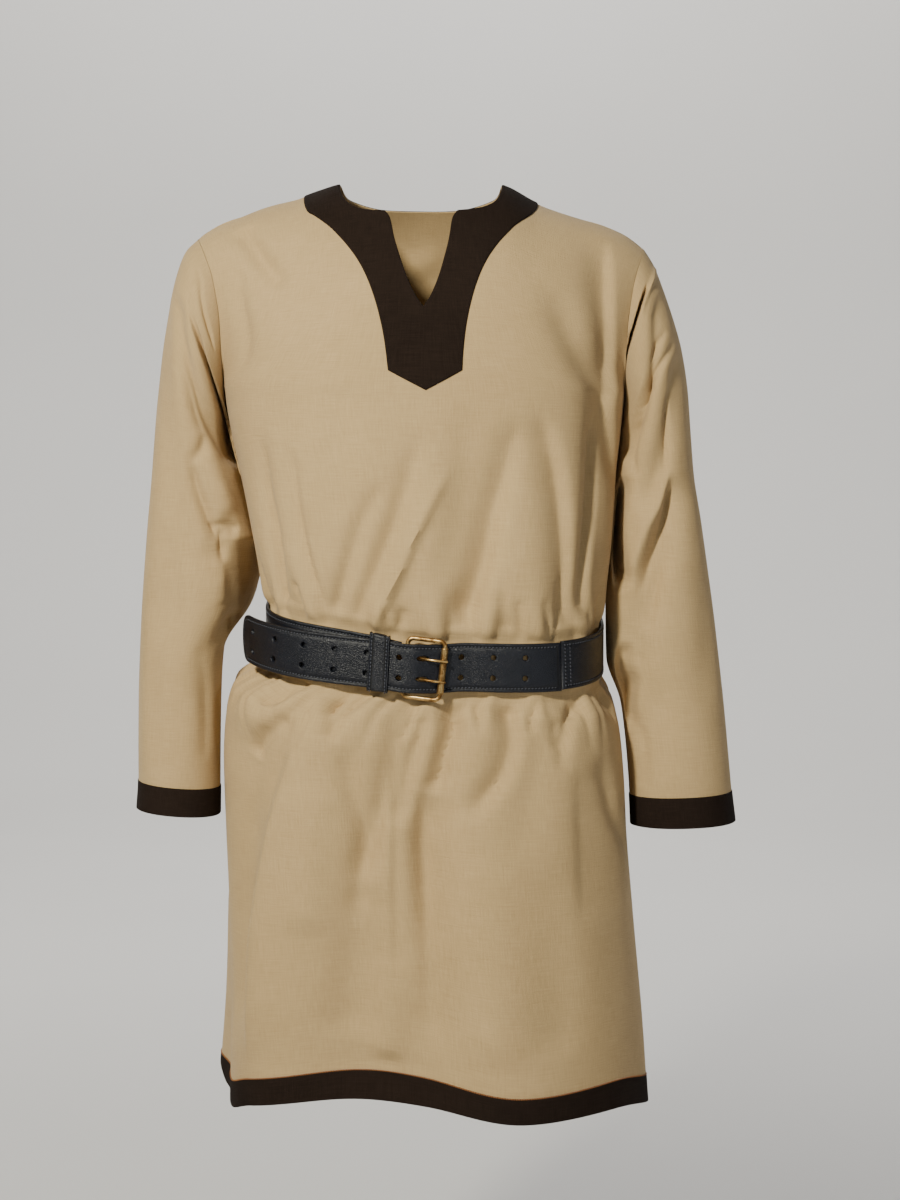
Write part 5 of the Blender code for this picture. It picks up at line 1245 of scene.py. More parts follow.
def belt_tops(face):
    """Shares across the front or the back, and the level there of the belt's upper edge."""
    across = np.linspace(-1, 1, 161)
    points = body_base(across, np.full(len(across), WAIST), face)
    nearest_points = np.argmin(np.linalg.norm(points[:, None] - WAIST_LOOP[None], axis=2), axis=1)
    along = WAIST_RUN[nearest_points]
    rise = np.where(along > BELT_JOIN, strap_rise(along - BELT_LOOP), tongue_rise(along))
    return across, WAIST + BELT_WIDTH / 2 + rise + BELT_CLEAR


def ellipse(centre, radii):
    angles = (np.arange(HOLE_SIDES) + 0.5) * 2 * math.pi / HOLE_SIDES
    return [(centre[0] + radii[0] * math.cos(a), centre[1] + radii[1] * math.sin(a)) for a in angles]


def leather_face(edge):
    """Height of a strap's outer face at a distance from its edge: round, a bead, then a stitch groove."""
    fall = -LEATHER_ROUND * (1 - rounded(edge, LEATHER_ROUND))
    bead = BEAD_HIGH * np.exp(-((edge - BEAD_IN) / BEAD_WIDE) ** 2)
    groove = -GROOVE_DEEP * np.exp(-((edge - GROOVE_IN) / GROOVE_WIDE) ** 2)
    return fall + bead + groove


def leather_strap(name, start_shape, end_shape, holes, lift, rise, finish):
    """Flat strap between the shapes of its ends, with rounded edges and rounded holes."""
    half = BELT_WIDTH / 2
    start, end = start_shape[-1][0], end_shape[0][0]
    run = np.linspace(start, end, round((end - start) / STRAP_STEP) + 1)
    outline = start_shape + [(x, -half) for x in run[1:-1]]
    outline += end_shape + [(x, half) for x in run[::-1][1:-1]]
    rows = [side * (half - inset) for inset in STRAP_INSETS for side in (-1, 1)]
    rows += list(np.linspace(MIDDLE_INSET - half, half - MIDDLE_INSET, MIDDLE_ROWS))
    lattice = [(x, y) for x in run[1:-1] for y in rows]
    keep_off = [0.0002 if half - abs(y) < 0.0006 else 0.0005 for _, y in lattice]
    rings = []
    for centre, radii in holes:
        for grow, near in HOLE_RINGS:
            ring = ellipse(centre, (radii[0] + grow, radii[1] + grow))
            lattice += ring
            keep_off += [near] * len(ring)
        rings.append(ellipse(centre, radii))
    inner_tip = [tuple(point) for inset in STRAP_INSETS[:5] for point in offset_points(outline, inset)
                 if point[0] < start + 0.001]
    lattice += inner_tip
    keep_off += [0.0002] * len(inner_tip)
    flat, triangles = triangulate(outline, rings, [], lattice, keep_off)
    edge = nearest(flat, [outline])
    at_hole = nearest(flat, rings) if rings else np.full(len(flat), 1.0)
    height = leather_face(edge) - HOLE_ROUND * (1 - rounded(at_hole, HOLE_ROUND))
    p, q = flat[:, 0], flat[:, 1]
    outer = belt_place(p, q + rise(p), lift(p) + LEATHER + height)
    inner = belt_place(p, q + rise(p), lift(p) + 0.0004 * (1 - rounded(edge, 0.0006)))
    return region_shell(name, flat, triangles, outer, inner, edge, finish)


def tongue_tip(inset, length, count):
    """Points round the tongue's end, from its upper to its lower edge, inset from its outline."""
    half = BELT_WIDTH / 2 - inset
    return [(TONGUE_TIP + inset + length * (1 - abs(math.cos(a)) ** TIP_POWER), half * math.sin(a))
            for a in np.linspace(math.pi / 2, 3 * math.pi / 2, count)]


def belt_strap(leather):
    """The strap round the back, with two notches for the prongs in its end."""
    half = BELT_WIDTH / 2
    notches = []
    for row in (-HOLE_ROW, HOLE_ROW):
        low, high, deep = row - NOTCH_HALF, row + NOTCH_HALF, STRAP_END - NOTCH_DEPTH
        notches += [(STRAP_END, low), (deep, low), (deep, high), (STRAP_END, high)]
    start = [(STRAP_START, half), (STRAP_START, -half)]
    end = [(STRAP_END, -half), *notches, (STRAP_END, half)]
    return leather_strap("belt_strap_leather", start, end, [], strap_lift, strap_rise, leather)


def belt_tongue(leather):
    """The pierced tongue that goes through the buckle and the keeper."""
    holes = []
    for row in (-HOLE_ROW, HOLE_ROW):
        for direction, (first, count) in ((-1, FIRST_HOLES["left"]), (1, FIRST_HOLES["right"])):
            for number in range(count):
                centre = (first + direction * number * HOLE_PITCH, row)
                holes.append((centre, (HOLE_RADIUS, HOLE_RADIUS)))
        middle, reach = (SLOT_FROM + SLOT_TO) / 2, (SLOT_TO - SLOT_FROM) / 2
        holes.append(((middle, row), (reach, SLOT_HALF)))
    tip = tongue_tip(0.0, TIP_LENGTH, 41)
    end = [(BELT_JOIN, -BELT_WIDTH / 2), (BELT_JOIN, BELT_WIDTH / 2)]
    return leather_strap("belt_tongue_leather", tip, end, holes, tongue_lift, tongue_rise, leather)


def keeper_ring(along, grow, sides=14):
    """Ring of the keeper at a place along the belt, as across and out, with rounded corners."""
    low = float(strap_lift(along)) - KEEPER_GAP - grow
    high = float(tongue_lift(along)) + LEATHER + KEEPER_GAP + grow
    top = float(strap_rise(along)) + KEEPER_HALF + grow
    foot = float(tongue_rise(along)) - KEEPER_HALF - grow
    radius = KEEPER_CORNER + grow
    middles = ((top - radius, high - radius), (foot + radius, high - radius),
               (foot + radius, low + radius), (top - radius, low + radius))
    points = []
    for quarter, (across, out) in enumerate(middles):
        for angle in (quarter + np.linspace(0, 1, 6)) * math.pi / 2:
            points.append((across + radius * math.cos(angle), out + radius * math.sin(angle)))
        if quarter in (0, 2):
            ends = np.array([points[-1], (middles[quarter + 1][0], points[-1][1])])
            points += [tuple(ends[0] + (ends[1] - ends[0]) * k / sides) for k in range(1, sides)]
    return points


def belt_keeper(leather):
    """Loop of leather round both straps, as a tube whose rows run along the belt."""
    width = KEEPER_TO - KEEPER_FROM
    insets = np.array(KEEPER_INSETS)
    steps = np.concatenate([insets, width - insets[::-1]])
    edge = np.minimum(steps, width - steps)
    outer, inner = [], []
    for step, away in zip(steps, edge):
        along = KEEPER_FROM + step
        side = HOLE_ROUND * (1 - float(rounded(away, KEEPER_ROUND)))
        grow = KEEPER_WALL + float(leather_face(away + KEEPER_FLAT)) - side
        for rows, size in ((outer, grow), (inner, 0.0)):
            ring = np.array(keeper_ring(along, size))
            rows.append(belt_place(np.full(len(ring), along), ring[:, 0], ring[:, 1]))
    outer, inner = np.array(outer), np.array(inner)
    round_run = np.concatenate([[0], np.cumsum(np.linalg.norm(np.diff(outer[5], axis=0), axis=1))])
    uv = np.stack(np.meshgrid(np.append(round_run, round_run[-1] + 0.001), steps), axis=-1)
    edge = edge[:, None] * np.ones(outer.shape[1])
    return grid_shell("belt_keeper_leather", outer, inner, True, uv, edge, leather)


def buckle_place(points):
    """Points of the buckle's own flat frame, turned a little and set on the belt."""
    points = np.asarray(points, float)
    along, across = points[..., 0] - BUCKLE_MIDDLE, points[..., 1]
    c, s = math.cos(BUCKLE_TILT), math.sin(BUCKLE_TILT)
    return belt_place(BUCKLE_MIDDLE + along * c - across * s, along * s + across * c, points[..., 2])


def wire(name, path, radii, sides, closed, finish):
    """Round wire along a path in the buckle's frame, with a radius at each of its points."""
    path = np.asarray(path, float)
    radii = np.broadcast_to(radii, len(path))
    ahead = np.roll(path, -1, axis=0) - path
    behind = path - np.roll(path, 1, axis=0)
    if not closed:
        ahead[-1], behind[0] = behind[-1], ahead[0]
    tangent = unit(unit(ahead) + unit(behind))
    flat = np.ptp(path[:, 1]) < 1e-9
    side = np.tile((0.0, 1.0, 0.0) if flat else (0.0, 0.0, 1.0), (len(path), 1))
    side = unit(side - np.sum(side * tangent, axis=1, keepdims=True) * tangent)
    other = np.cross(tangent, side)
    angles = np.arange(sides) * 2 * math.pi / sides
    ring = np.cos(angles)[None, :, None] * side[:, None] + np.sin(angles)[None, :, None] * other[:, None]
    points = buckle_place(path[:, None] + radii[:, None, None] * ring)
    count = len(path)
    faces, _ = grid_faces(count + 1 if closed else count, sides, True)
    faces = (faces % (count * sides)).tolist()
    if not closed:
        faces.append(list(range(sides - 1, -1, -1)))
        faces.append([(count - 1) * sides + k for k in range(sides)])
    mesh = bpy.data.meshes.new(name)
    mesh.from_pydata(points.reshape(-1, 3).tolist(), [], faces)
    return finished(name, mesh, finish)


def round_ends(path, radius, steps=4):
    """A path with more points at both ends, and radii that close it in two half balls."""
    path = np.asarray(path, float)
    start, end = unit(path[0] - path[1]), unit(path[-1] - path[-2])
    angles = np.linspace(0, math.pi / 2, steps + 1)[1:]
    angles[-1] -= 0.12
    before = [path[0] + start * radius * math.sin(a) for a in angles[::-1]]
    after = [path[-1] + end * radius * math.sin(a) for a in angles]
    radii = [radius * math.cos(a) for a in angles]
    return np.array([*before, *path, *after]), np.array([*radii[::-1], *[radius] * len(path), *radii])


def buckle_frame(brass):
    """Rectangle of wire with rounded corners, which rises from its pivot bar to its roller."""
    inner, outer, high = PIVOT_ALONG + RAIL_CORNER, ROLLER_ALONG - RAIL_CORNER, RAIL - RAIL_CORNER
    corners = (outer, high), (inner, high), (inner, -high), (outer, -high)
    path = []
    for quarter, (along, across) in enumerate(corners):
        for angle in np.linspace(quarter, quarter + 1, 10) * math.pi / 2:
            x = along + RAIL_CORNER * math.cos(angle)
            out = PIVOT_OUT + (x - PIVOT_ALONG) / (ROLLER_ALONG - PIVOT_ALONG) * (ROLLER_OUT - PIVOT_OUT)
            path.append((x, across + RAIL_CORNER * math.sin(angle), out))
    return wire("buckle_frame_brass", fine_loop(path, 0.004), WIRE, 20, True, brass)


def buckle_roller(brass):
    """Tube round the frame's outer bar, with rounded ends."""
    angles = np.arange(ROLLER_SIDES) * 2 * math.pi / ROLLER_SIDES
    half, insets = ROLLER_LENGTH / 2, np.array(ROLLER_INSETS)
    middle = np.linspace(half - 0.006, -half + 0.006, 7)
    places = np.concatenate([half - insets, middle, insets[::-1] - half])
    layers = []
    for radius, bow in ((ROLLER_OUTSIDE, -0.0006), (ROLLER_INSIDE, 0.0)):
        sizes = radius + bow * (1 - rounded(half - np.abs(places), HOLE_ROUND))
        rings = [np.stack([ROLLER_ALONG + size * np.cos(angles), np.full(len(angles), y),
                           ROLLER_OUT + size * np.sin(angles)], axis=1) for size, y in zip(sizes, places)]
        layers.append(buckle_place(np.array(rings)))
    uv = np.stack(np.meshgrid(np.arange(ROLLER_SIDES + 1) * 0.0008, places), axis=-1)
    edge = (half - np.abs(places))[:, None] * np.ones(len(angles))
    return grid_shell("buckle_roller_brass", *layers, True, uv, edge, brass)


def buckle_prong(side, row, brass):
    """Prong whose loop goes round the pivot bar and whose point rests on the roller."""
    loop = [(PIVOT_ALONG + PRONG_LOOP * math.cos(a), PIVOT_OUT + PRONG_LOOP * math.sin(a))
            for a in np.radians(np.linspace(-200, -20, 15))]
    rest = smooth_path([loop[-1], *PRONG_PATH], 40)[1:]
    path, radii = round_ends([(x, row, z) for x, z in [*loop, *rest]], PRONG)
    return wire(f"buckle_prong_{side}_brass", path, radii, 14, False, brass)


class Nodes:
    """A node tree, whose nodes all come from one method."""

    def __init__(self, tree):
        self.tree = tree

    def add(self, kind, settings=None, sockets=None, output=0):
        """Add a node, its settings first and then its sockets, and give back one output or several."""
        node = self.tree.nodes.new(kind)
        for key, value in (settings or {}).items():
            setattr(node, key, value)
        for key, value in (sockets or {}).items():
            if isinstance(value, Sock):
                self.tree.links.new(value.output, node.inputs[key])
            else:
                node.inputs[key].default_value = value
        if output is None:
            return None
        if isinstance(output, tuple):
            return [Sock(self, node.outputs[key]) for key in output]
        return Sock(self, node.outputs[output])


class Sock:
    """An output of a node. An expression on it adds the Math nodes that it takes."""

    def __init__(self, nodes, output):
        self.nodes, self.output = nodes, output

    def math(self, operation, *others):
        sockets = dict(enumerate((self, *others)))
        return self.nodes.add("ShaderNodeMath", {"operation": operation}, sockets)

    def __add__(self, other):
        return self.math("ADD", other)

    __radd__ = __add__

    def __sub__(self, other):
        return self.math("SUBTRACT", other)

    def __rsub__(self, other):
        return self.nodes.add("ShaderNodeMath", {"operation": "SUBTRACT"}, {0: other, 1: self})

    def __mul__(self, other):
        return self.math("MULTIPLY", other)

    def __truediv__(self, other):
        return self.math("DIVIDE", other)

    def clamp(self):
        return self.nodes.add("ShaderNodeClamp", None, {0: self})


def new_finish(name, roughness, metallic=0.0, sheen=0.0, specular=0.5):
    """A new material, its nodes and its shader, with the values that are the same all over."""
    material = bpy.data.materials.new(name)
    material.use_nodes = True
    shader = material.node_tree.nodes["Principled BSDF"]
    shader.inputs["Roughness"].default_value = roughness
    shader.inputs["Metallic"].default_value = metallic
    shader.inputs["Sheen Weight"].default_value = sheen
    shader.inputs["Specular IOR Level"].default_value = specular
    return material, Nodes(material.node_tree), shader


def plug(nodes, shader, **values):
    for key, value in values.items():
        nodes.tree.links.new(value.output, shader.inputs[key.replace("_", " ")])


def mix(nodes, factor, low, high):
    """Colour between two colours, each four numbers or an output."""
    return nodes.add("ShaderNodeMix", {"data_type": "RGBA"}, {0: factor, 6: low, 7: high}, output=2)


def noise(nodes, vector, scale, detail=2.0):
    return nodes.add("ShaderNodeTexNoise", None, {"Vector": vector, "Scale": scale, "Detail": detail})


def drawn_out(nodes, u, v, across, along):
    """Noise drawn out into streaks, with its own scales across and along them."""
    return noise(nodes, nodes.add("ShaderNodeCombineXYZ", None, {0: u * across, 1: v * along}), 1.0)


def place_of(nodes):
    return nodes.add("ShaderNodeTexCoord", output="Object")


def woven_cotton(name, shade, plain, light, thread, bump, sheen, specular):
    """Plain-woven cotton: threads over and under, slubs along both, and soft uneven dye."""
    material, nodes, shader = new_finish(name, 0.9, sheen=sheen, specular=specular)
    uv = nodes.add("ShaderNodeUVMap", {"uv_map": CLOTH_UV})
    u, v = nodes.add("ShaderNodeSeparateXYZ", None, {0: uv}, output=("X", "Y"))
    over = (u * (math.pi / thread)).math("SINE") * (v * (math.pi / thread)).math("SINE")
    slub = drawn_out(nodes, u, v, 45.0, 1100.0) + drawn_out(nodes, u, v, 1100.0, 45.0) - 1.0
    groups = drawn_out(nodes, u, v, 60.0, 700.0) + drawn_out(nodes, u, v, 700.0, 60.0) - 1.0
    place = place_of(nodes)
    dye = (noise(nodes, place, 16.0, 3.0) - 0.5) * 0.5 + (noise(nodes, place, 4.5, 2.0) - 0.5) * 0.4
    tone = (0.5 + slub * 0.9 + groups * 0.45 + over * 0.10 + dye).clamp()
    colour = mix(nodes, tone, shade, light)
    colour = mix(nodes, 0.35, colour, plain)
    height = over * 0.5 + slub * 1.6 + groups * 0.8
    normal = nodes.add("ShaderNodeBump", None, {"Strength": bump, "Distance": 0.0003, "Height": height})
    plug(nodes, shader, Base_Color=colour, Roughness=0.98 - slub * 0.12 - over * 0.02, Normal=normal)
    return material


def belt_leather(name):
    """Blue-black leather: fine grain, worn edges, a duller stitch groove with painted shade in it, and a
    soft sheen.
    """
    material, nodes, shader = new_finish(name, 0.45, specular=0.34)
    shader.inputs["Coat Weight"].default_value = 0.03
    shader.inputs["Coat Roughness"].default_value = 0.30
    place = place_of(nodes)
    edge = nodes.add("ShaderNodeAttribute", {"attribute_name": EDGE}, output="Fac")
    near_edge = (1.0 - edge / 0.0022).clamp()
    cells = nodes.add("ShaderNodeTexVoronoi", {"feature": "DISTANCE_TO_EDGE"},
                      {"Vector": place, "Scale": 620.0}, output="Distance")
    grain = (cells * 3.0).clamp()
    rough = noise(nodes, place, 760.0, 2.0)
    cloud = noise(nodes, place, 55.0, 3.0)
    scuff = (noise(nodes, place, 160.0, 4.0) * 2.4 - 1.35).clamp() * near_edge
    tone = (cloud * 0.5 + rough * 1.6 - 0.6).clamp()
    colour = mix(nodes, tone, (0.0011, 0.0016, 0.0040, 1), (0.0085, 0.0102, 0.0175, 1))
    colour = mix(nodes, scuff * 0.5, colour, (0.060, 0.062, 0.078, 1))
    # Painted shade: across the stitch groove the colour darkens to near black, where shade falls; the
    # groove is also made duller.
    across = (edge - GROOVE_IN) / GROOVE_WIDE
    groove_shade_and_dullness = (1.0 - across * across).clamp()
    colour = mix(nodes, groove_shade_and_dullness * 0.8, colour, (0.0008, 0.0009, 0.0014, 1))
    height = grain * 0.6 + rough * 1.0 + cloud * 0.1
    normal = nodes.add("ShaderNodeBump", None, {"Strength": 1.0, "Distance": 0.0003, "Height": height})
    gloss = 0.29 + cloud * 0.08 + rough * 0.10 + near_edge * 0.04 + groove_shade_and_dullness * 0.3
    plug(nodes, shader, Base_Color=colour, Roughness=gloss, Normal=normal)
    return material


def antique_brass(name):
    """Brass, browned in its hollows and rubbed bright where it is handled."""
    material, nodes, shader = new_finish(name, 0.3, metallic=1.0)
    place = place_of(nodes)
    cloud = noise(nodes, place, 130.0, 4.0)
    fine = noise(nodes, place, 900.0, 3.0)
    worn = ((cloud - 0.42) * 3.2 + (fine - 0.5) * 0.8).clamp()
    colour = mix(nodes, worn, (0.20, 0.105, 0.034, 1), (0.78, 0.54, 0.23, 1))
    height = fine + cloud
    normal = nodes.add("ShaderNodeBump", None, {"Strength": 0.25, "Distance": 0.0002, "Height": height})
    plug(nodes, shader, Base_Color=colour, Roughness=0.46 - worn * 0.22 + fine * 0.06, Normal=normal)
    return material


def sewing_thread(name, dark, light, roughness):
    """Twisted thread, with painted shade between its plies."""
    material, nodes, shader = new_finish(name, roughness, specular=0.2)
    place = place_of(nodes)
    plies_and_shade = noise(nodes, place, 1600.0, 2.0)
    # Painted shade: the colour darkens where the plies' bump is low, between the plies.
    colour = mix(nodes, (plies_and_shade * 1.6 - 0.3).clamp(), dark, light)
    normal = nodes.add("ShaderNodeBump", None, {"Strength": 0.4, "Distance": 0.0002, "Height": plies_and_shade})
    plug(nodes, shader, Base_Color=colour, Roughness=roughness - 0.1 + plies_and_shade * 0.2, Normal=normal)
    return material


def stage_finish(name):
    """Pale matt stage, barely uneven."""
    material, nodes, shader = new_finish(name, 0.9)
    tone = noise(nodes, place_of(nodes), 1.3, 2.0)
    plug(nodes, shader, Base_Color=mix(nodes, tone, (0.60, 0.585, 0.56, 1), (0.64, 0.625, 0.60, 1)))
    return material


def stitch_tree():
    """Geometry nodes that set a row of stitches along each line of edges, upright on its surface."""
    tree = bpy.data.node_groups.new("stitch_rows", "GeometryNodeTree")
    sockets = tree.interface
    sockets.new_socket(name="Geometry", in_out="INPUT", socket_type="NodeSocketGeometry")
    for label in STITCH_COLUMNS:
        sockets.new_socket(name=label, in_out="INPUT", socket_type="NodeSocketFloat")
    sockets.new_socket(name="Thread", in_out="INPUT", socket_type="NodeSocketMaterial")
    sockets.new_socket(name="Geometry", in_out="OUTPUT", socket_type="NodeSocketGeometry")
    nodes = Nodes(tree)
    names = ("Geometry", *STITCH_COLUMNS, "Thread")
    given = dict(zip(names, nodes.add("NodeGroupInput", output=names)))
    lines = nodes.add("GeometryNodeMeshToCurve", None, {"Mesh": given["Geometry"]})
    spaced = nodes.add("GeometryNodeResampleCurve", {"mode": "LENGTH"},
                       {"Curve": lines, "Length": given["Pitch"]})
    up = nodes.add("GeometryNodeInputNamedAttribute", {"data_type": "FLOAT_VECTOR"}, {"Name": "up"})
    tangent = nodes.add("GeometryNodeInputTangent")
    turn = nodes.add("FunctionNodeAlignRotationToVector", {"axis": "X"}, {"Vector": tangent})
    turn = nodes.add("FunctionNodeAlignRotationToVector", {"axis": "Z", "pivot_axis": "X"},
                     {"Rotation": turn, "Vector": up})
    uneven = nodes.add("FunctionNodeRandomValue", {"data_type": "FLOAT"},
                       {2: -0.12, 3: 0.12, "Seed": 5}, output=1)
    slant = nodes.add("ShaderNodeCombineXYZ", None, {2: given["Slant"] + uneven})
    euler = nodes.add("FunctionNodeEulerToRotation", None, {0: slant})
    turn = nodes.add("FunctionNodeRotateRotation", {"rotation_space": "LOCAL"}, {0: turn, 1: euler})
    bead = nodes.add("GeometryNodeMeshUVSphere", None, {"Segments": 6, "Rings": 4, "Radius": 0.5})
    size = nodes.add("ShaderNodeCombineXYZ", None,
                     {0: given["Length"], 1: given["Width"], 2: given["Height"]})
    set_out = nodes.add("GeometryNodeInstanceOnPoints", None,
                        {"Points": spaced, "Instance": bead, "Rotation": turn, "Scale": size})
    real = nodes.add("GeometryNodeRealizeInstances", None, {0: set_out})
    smooth = nodes.add("GeometryNodeSetShadeSmooth", None, {0: real})
    threaded = nodes.add("GeometryNodeSetMaterial", None,
                         {"Geometry": smooth, "Material": given["Thread"]})
    nodes.add("NodeGroupOutput", None, {"Geometry": threaded}, output=None)
    return tree


def stitches(name, rows, sizes, thread, tree):
    """One piece of stitches from rows of points with the directions that stand up from the surface."""
    points, ups, edges = [], [], []
    for row_points, row_ups in rows:
        first = len(points)
        points.extend(row_points.tolist())
        ups.extend(row_ups.tolist())
        edges.extend((first + k, first + k + 1) for k in range(len(row_points) - 1))
    mesh = bpy.data.meshes.new(name)
    mesh.from_pydata(points, edges, [])
    attribute = mesh.attributes.new("up", "FLOAT_VECTOR", "POINT")
    attribute.data.foreach_set("vector", np.array(ups, np.float32).ravel())
    piece = bpy.data.objects.new(name, mesh)
    bpy.context.scene.collection.objects.link(piece)
    modifier = piece.modifiers.new("stitch_rows", "NODES")
    modifier.node_group = tree
    known = {item.name: item.identifier for item in tree.interface.items_tree if item.in_out == "INPUT"}
    for label, value in zip((*STITCH_COLUMNS, "Thread"), (*sizes, thread)):
        modifier[known[label]] = value
    graph = bpy.context.evaluated_depsgraph_get()
    made = bpy.data.meshes.new_from_object(piece.evaluated_get(graph))
    piece.modifiers.remove(modifier)
    piece.data = made
    made.name = name
    bpy.data.meshes.remove(mesh)
    return piece


def on_body(path, face, out):
    """Points on the cloth of the body at (p, q), moved outwards, and the directions that stand up."""
    p, q = np.array(path, float).T
    step = STITCH_SLOPE_STEP
    up = -face * normal_of(lambda a, b: body_cloth(a, b, face), p, q, HEM, CAP_TOP, step)
    return body_cloth(p, q, face) + up * out, up


def on_belt(path, lift, rise, out):
    """Points on a strap at (along, across), moved outwards, and the directions that stand up."""
    along, across = np.array(path, float).T
    points = belt_place(along, across + rise(along), lift(along) + out)
    above = belt_place(along, across + rise(along), lift(along) + out + 0.001)
    return points, unit(above - points)


def inner_runs(loop, away, keep):
    """Runs of a closed outline's inner parallel that stay as far from it as they should."""
    beside = offset_points(loop, away)
    good = nearest(beside, [loop]) > away * 0.97
    good &= np.array([keep(*point) for point in beside])
    breaks = np.nonzero(np.diff(good.astype(int)))[0] + 1
    runs = zip(np.split(beside, breaks), np.split(good, breaks))
    return [run for run, kept in runs if kept[0] and len(run) > 3]


def belt_stitch_rows():
    """Rows of stitches of the straps and the keeper, in their grooves."""
    half = BELT_WIDTH / 2 - GROOVE_IN
    sunk = LEATHER - GROOVE_DEEP * 0.3
    rows = []
    for across in (-half, half):
        for start, end, lift, rise in (
            (STRAP_START + 0.004, STRAP_END - 0.010, strap_lift, strap_rise),
            (TONGUE_TIP + TIP_LENGTH, BELT_JOIN - 0.003, tongue_lift, tongue_rise),
        ):
            along = np.arange(start, end, 0.004)
            path = np.stack([along, np.full(len(along), across)], axis=1)
            rows.append(on_belt(path, lift, rise, sunk))
    tip = tongue_tip(GROOVE_IN, TIP_LENGTH * STITCHED_TIP, 25)
    rows.append(on_belt(tip, tongue_lift, tongue_rise, sunk))
    for inset in JOIN_STITCHES:
        path = [(STRAP_START + inset, across) for across in np.linspace(-half, half, 14)]
        rows.append(on_belt(path, strap_lift, strap_rise, LEATHER))
    for along in (KEEPER_FROM + KEEPER_STITCH, KEEPER_TO - KEEPER_STITCH):
        shown = np.array(keeper_ring(along, KEEPER_WALL))[KEEPER_FACE]
        points = belt_place(np.full(len(shown), along), shown[:, 0], shown[:, 1])
        ups = unit(belt_place(np.full(len(shown), along), shown[:, 0], shown[:, 1] + 0.001) - points)
        rows.append((points, ups))
    return rows


def bare_stage():
    """Round pale floor that sweeps up into a wall all round, far outside the camera."""
    profile = [(0.0, FLOOR_Z), (FLOOR_RADIUS, FLOOR_Z)]
    bend = WALL_RADIUS - FLOOR_RADIUS
    profile += [(FLOOR_RADIUS + bend * math.sin(a), FLOOR_Z + bend * (1 - math.cos(a)))
                for a in np.linspace(0, math.pi / 2, 16)[1:]]
    profile.append((WALL_RADIUS, WALL_TOP))
    angles = np.arange(STAGE_SIDES) * 2 * math.pi / STAGE_SIDES
    points = [(0, 0, FLOOR_Z)]
    points += [(r * math.cos(a), r * math.sin(a), z) for r, z in profile[1:] for a in angles]
    rings, _ = grid_faces(len(profile) - 1, STAGE_SIDES, True)
    faces = [(0, 1 + k, 1 + (k + 1) % STAGE_SIDES) for k in range(STAGE_SIDES)]
    faces += (rings[:, ::-1] + 1).tolist()
    mesh = bpy.data.meshes.new("stage")
    mesh.from_pydata(points, [], faces)
    mesh.materials.append(stage_finish("stage"))
    mesh.shade_smooth()
    floor = bpy.data.objects.new("stage", mesh)
    bpy.context.scene.collection.objects.link(floor)


def area_light(name, place, target, size, power, colour):
    light = bpy.data.lights.new(name, "AREA")
    light.shape, light.size, light.energy, light.color = "DISK", size, power, colour
    holder = bpy.data.objects.new(name, light)
    holder.location = place
    holder.rotation_euler = (Vector(target) - Vector(place)).to_track_quat("-Z", "Y").to_euler()
    holder.visible_camera = False
    bpy.context.scene.collection.objects.link(holder)


def studio():
    """Camera of the photograph, soft key from the left in front, fill, and light from behind."""
    camera = bpy.data.cameras.new("camera")
    camera.sensor_width = SENSOR
    camera.lens = FOCAL_PIXELS / IMAGE_HEIGHT * SENSOR
    holder = bpy.data.objects.new("camera", camera)
    holder.location = (CAMERA_X, CAMERA_Y, CAMERA_Z)
    holder.rotation_euler = (math.pi / 2 - TILT, 0, 0)
    bpy.context.scene.collection.objects.link(holder)
    bpy.context.scene.camera = holder

    for name, values in LIGHTS.items():
        area_light(name, *values)
    world = bpy.data.worlds.new("world")
    bpy.context.scene.world = world
    world.use_nodes = True
    background = world.node_tree.nodes["Background"]
    background.inputs["Color"].default_value = WORLD_COLOUR
    background.inputs["Strength"].default_value = WORLD_STRENGTH


def ride(piece, slot, *nodes):
    """A finished piece moves with the tunic and stands for its solids; its slot is not used."""
    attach(piece, "root")
    if nodes:
        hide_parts(*nodes)


def body_pieces(tan, brown):
    """Front and back with their facings and hem bands; gives back rows for their stitches."""
    neck_rows, hem_rows = [], []
    for face in (FRONT, BACK):
        name = FACE_NAMES[face]
        cloth, facing, facing_outline = panel(face, tan, brown)
        ride(cloth, "tan_cotton", name)
        ride(facing, "brown_cotton", f"neck_facing_{name}")
        for run in inner_runs(facing_outline, STITCH_IN, lambda p, q: q < CAP_TOP - 0.003):
            neck_rows.append(on_body(run, face, FACING_GAP + FACING))
        band, outer, normals = hem_band(face, brown)
        ride(band, "brown_cotton", f"hem_band_{name}")
        hem_rows.append((outer[BAND_STITCH], normals[BAND_STITCH]))
    return neck_rows, hem_rows


def sleeve_pieces(tan, brown):
    """Sleeves and their cuff bands; gives back rows for the cuffs' stitches."""
    cuff_rows = []
    for name in SLEEVES:
        cloth, (cuff, outer, normals) = sleeve(name, tan, brown)
        ride(cloth, "tan_cotton", name)
        ride(cuff, "brown_cotton", name.replace("sleeve", "cuff_band"))
        cuff_rows.append([np.concatenate([rows[BAND_STITCH], rows[BAND_STITCH][:1]])
                          for rows in (outer, normals)])
    return cuff_rows


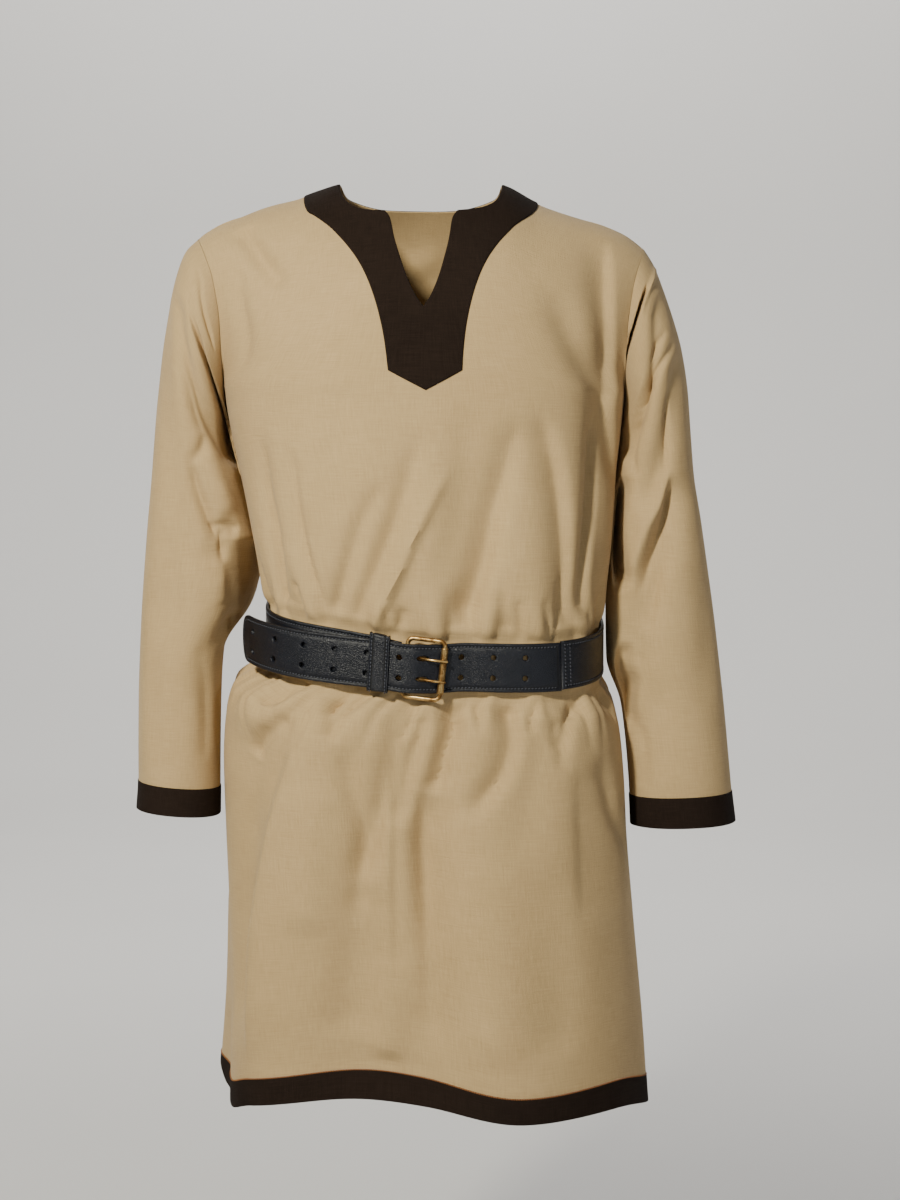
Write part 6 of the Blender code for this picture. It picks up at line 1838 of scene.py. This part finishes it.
def belt_pieces(leather, brass):
    """Straps, keeper and buckle of the belt."""
    for piece in (belt_strap(leather), belt_tongue(leather), belt_keeper(leather)):
        ride(piece, "black_leather", piece.name.replace("_leather", ""))
    for piece in (buckle_frame(brass), buckle_roller(brass),
                  buckle_prong("upper", HOLE_ROW, brass), buckle_prong("lower", -HOLE_ROW, brass)):
        ride(piece, "antique_brass", piece.name.replace("_brass", ""))


def main():
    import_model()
    BELT_TOPS.update({face: belt_tops(face) for face in (FRONT, BACK)})
    BODY_CREASES.update({face: body_creases(face) for face in (FRONT, BACK)})
    tan = woven_cotton("tan_cotton", (0.360, 0.244, 0.113, 1), (0.450, 0.312, 0.154, 1),
                       (0.540, 0.383, 0.197, 1), 0.00064, 0.6, 0.08, 0.2)
    brown = woven_cotton("brown_cotton", (0.0085, 0.0052, 0.0038, 1), (0.0150, 0.0095, 0.0070, 1),
                         (0.0250, 0.0160, 0.0122, 1), 0.00058, 0.6, 0.0, 0.08)
    leather, brass = belt_leather("black_leather"), antique_brass("antique_brass")
    dark_thread = sewing_thread("dark_thread", (0.028, 0.030, 0.041, 1), (0.096, 0.101, 0.123, 1), 0.5)
    brown_thread = sewing_thread("brown_thread", (0.006, 0.003, 0.002, 1), (0.020, 0.010, 0.007, 1), 0.9)
    rust_thread = sewing_thread("rust_thread", (0.16, 0.058, 0.020, 1), (0.34, 0.145, 0.052, 1), 0.8)
    tree = stitch_tree()

    neck_rows, hem_rows = body_pieces(tan, brown)
    cuff_rows = sleeve_pieces(tan, brown)
    for name, rows, sizes, thread, slot in (
        ("neck_stitches", neck_rows, "cloth", brown_thread, "brown_cotton"),
        ("hem_stitches", hem_rows, "hem", rust_thread, "brown_cotton"),
        ("cuff_stitches", cuff_rows, "cloth", brown_thread, "brown_cotton"),
        ("belt_stitches", belt_stitch_rows(), "leather", dark_thread, "black_leather"),
    ):
        ride(stitches(name, rows, STITCH_SIZES[sizes], thread, tree), slot)
    belt_pieces(leather, brass)

    bare_stage()
    studio()


main()
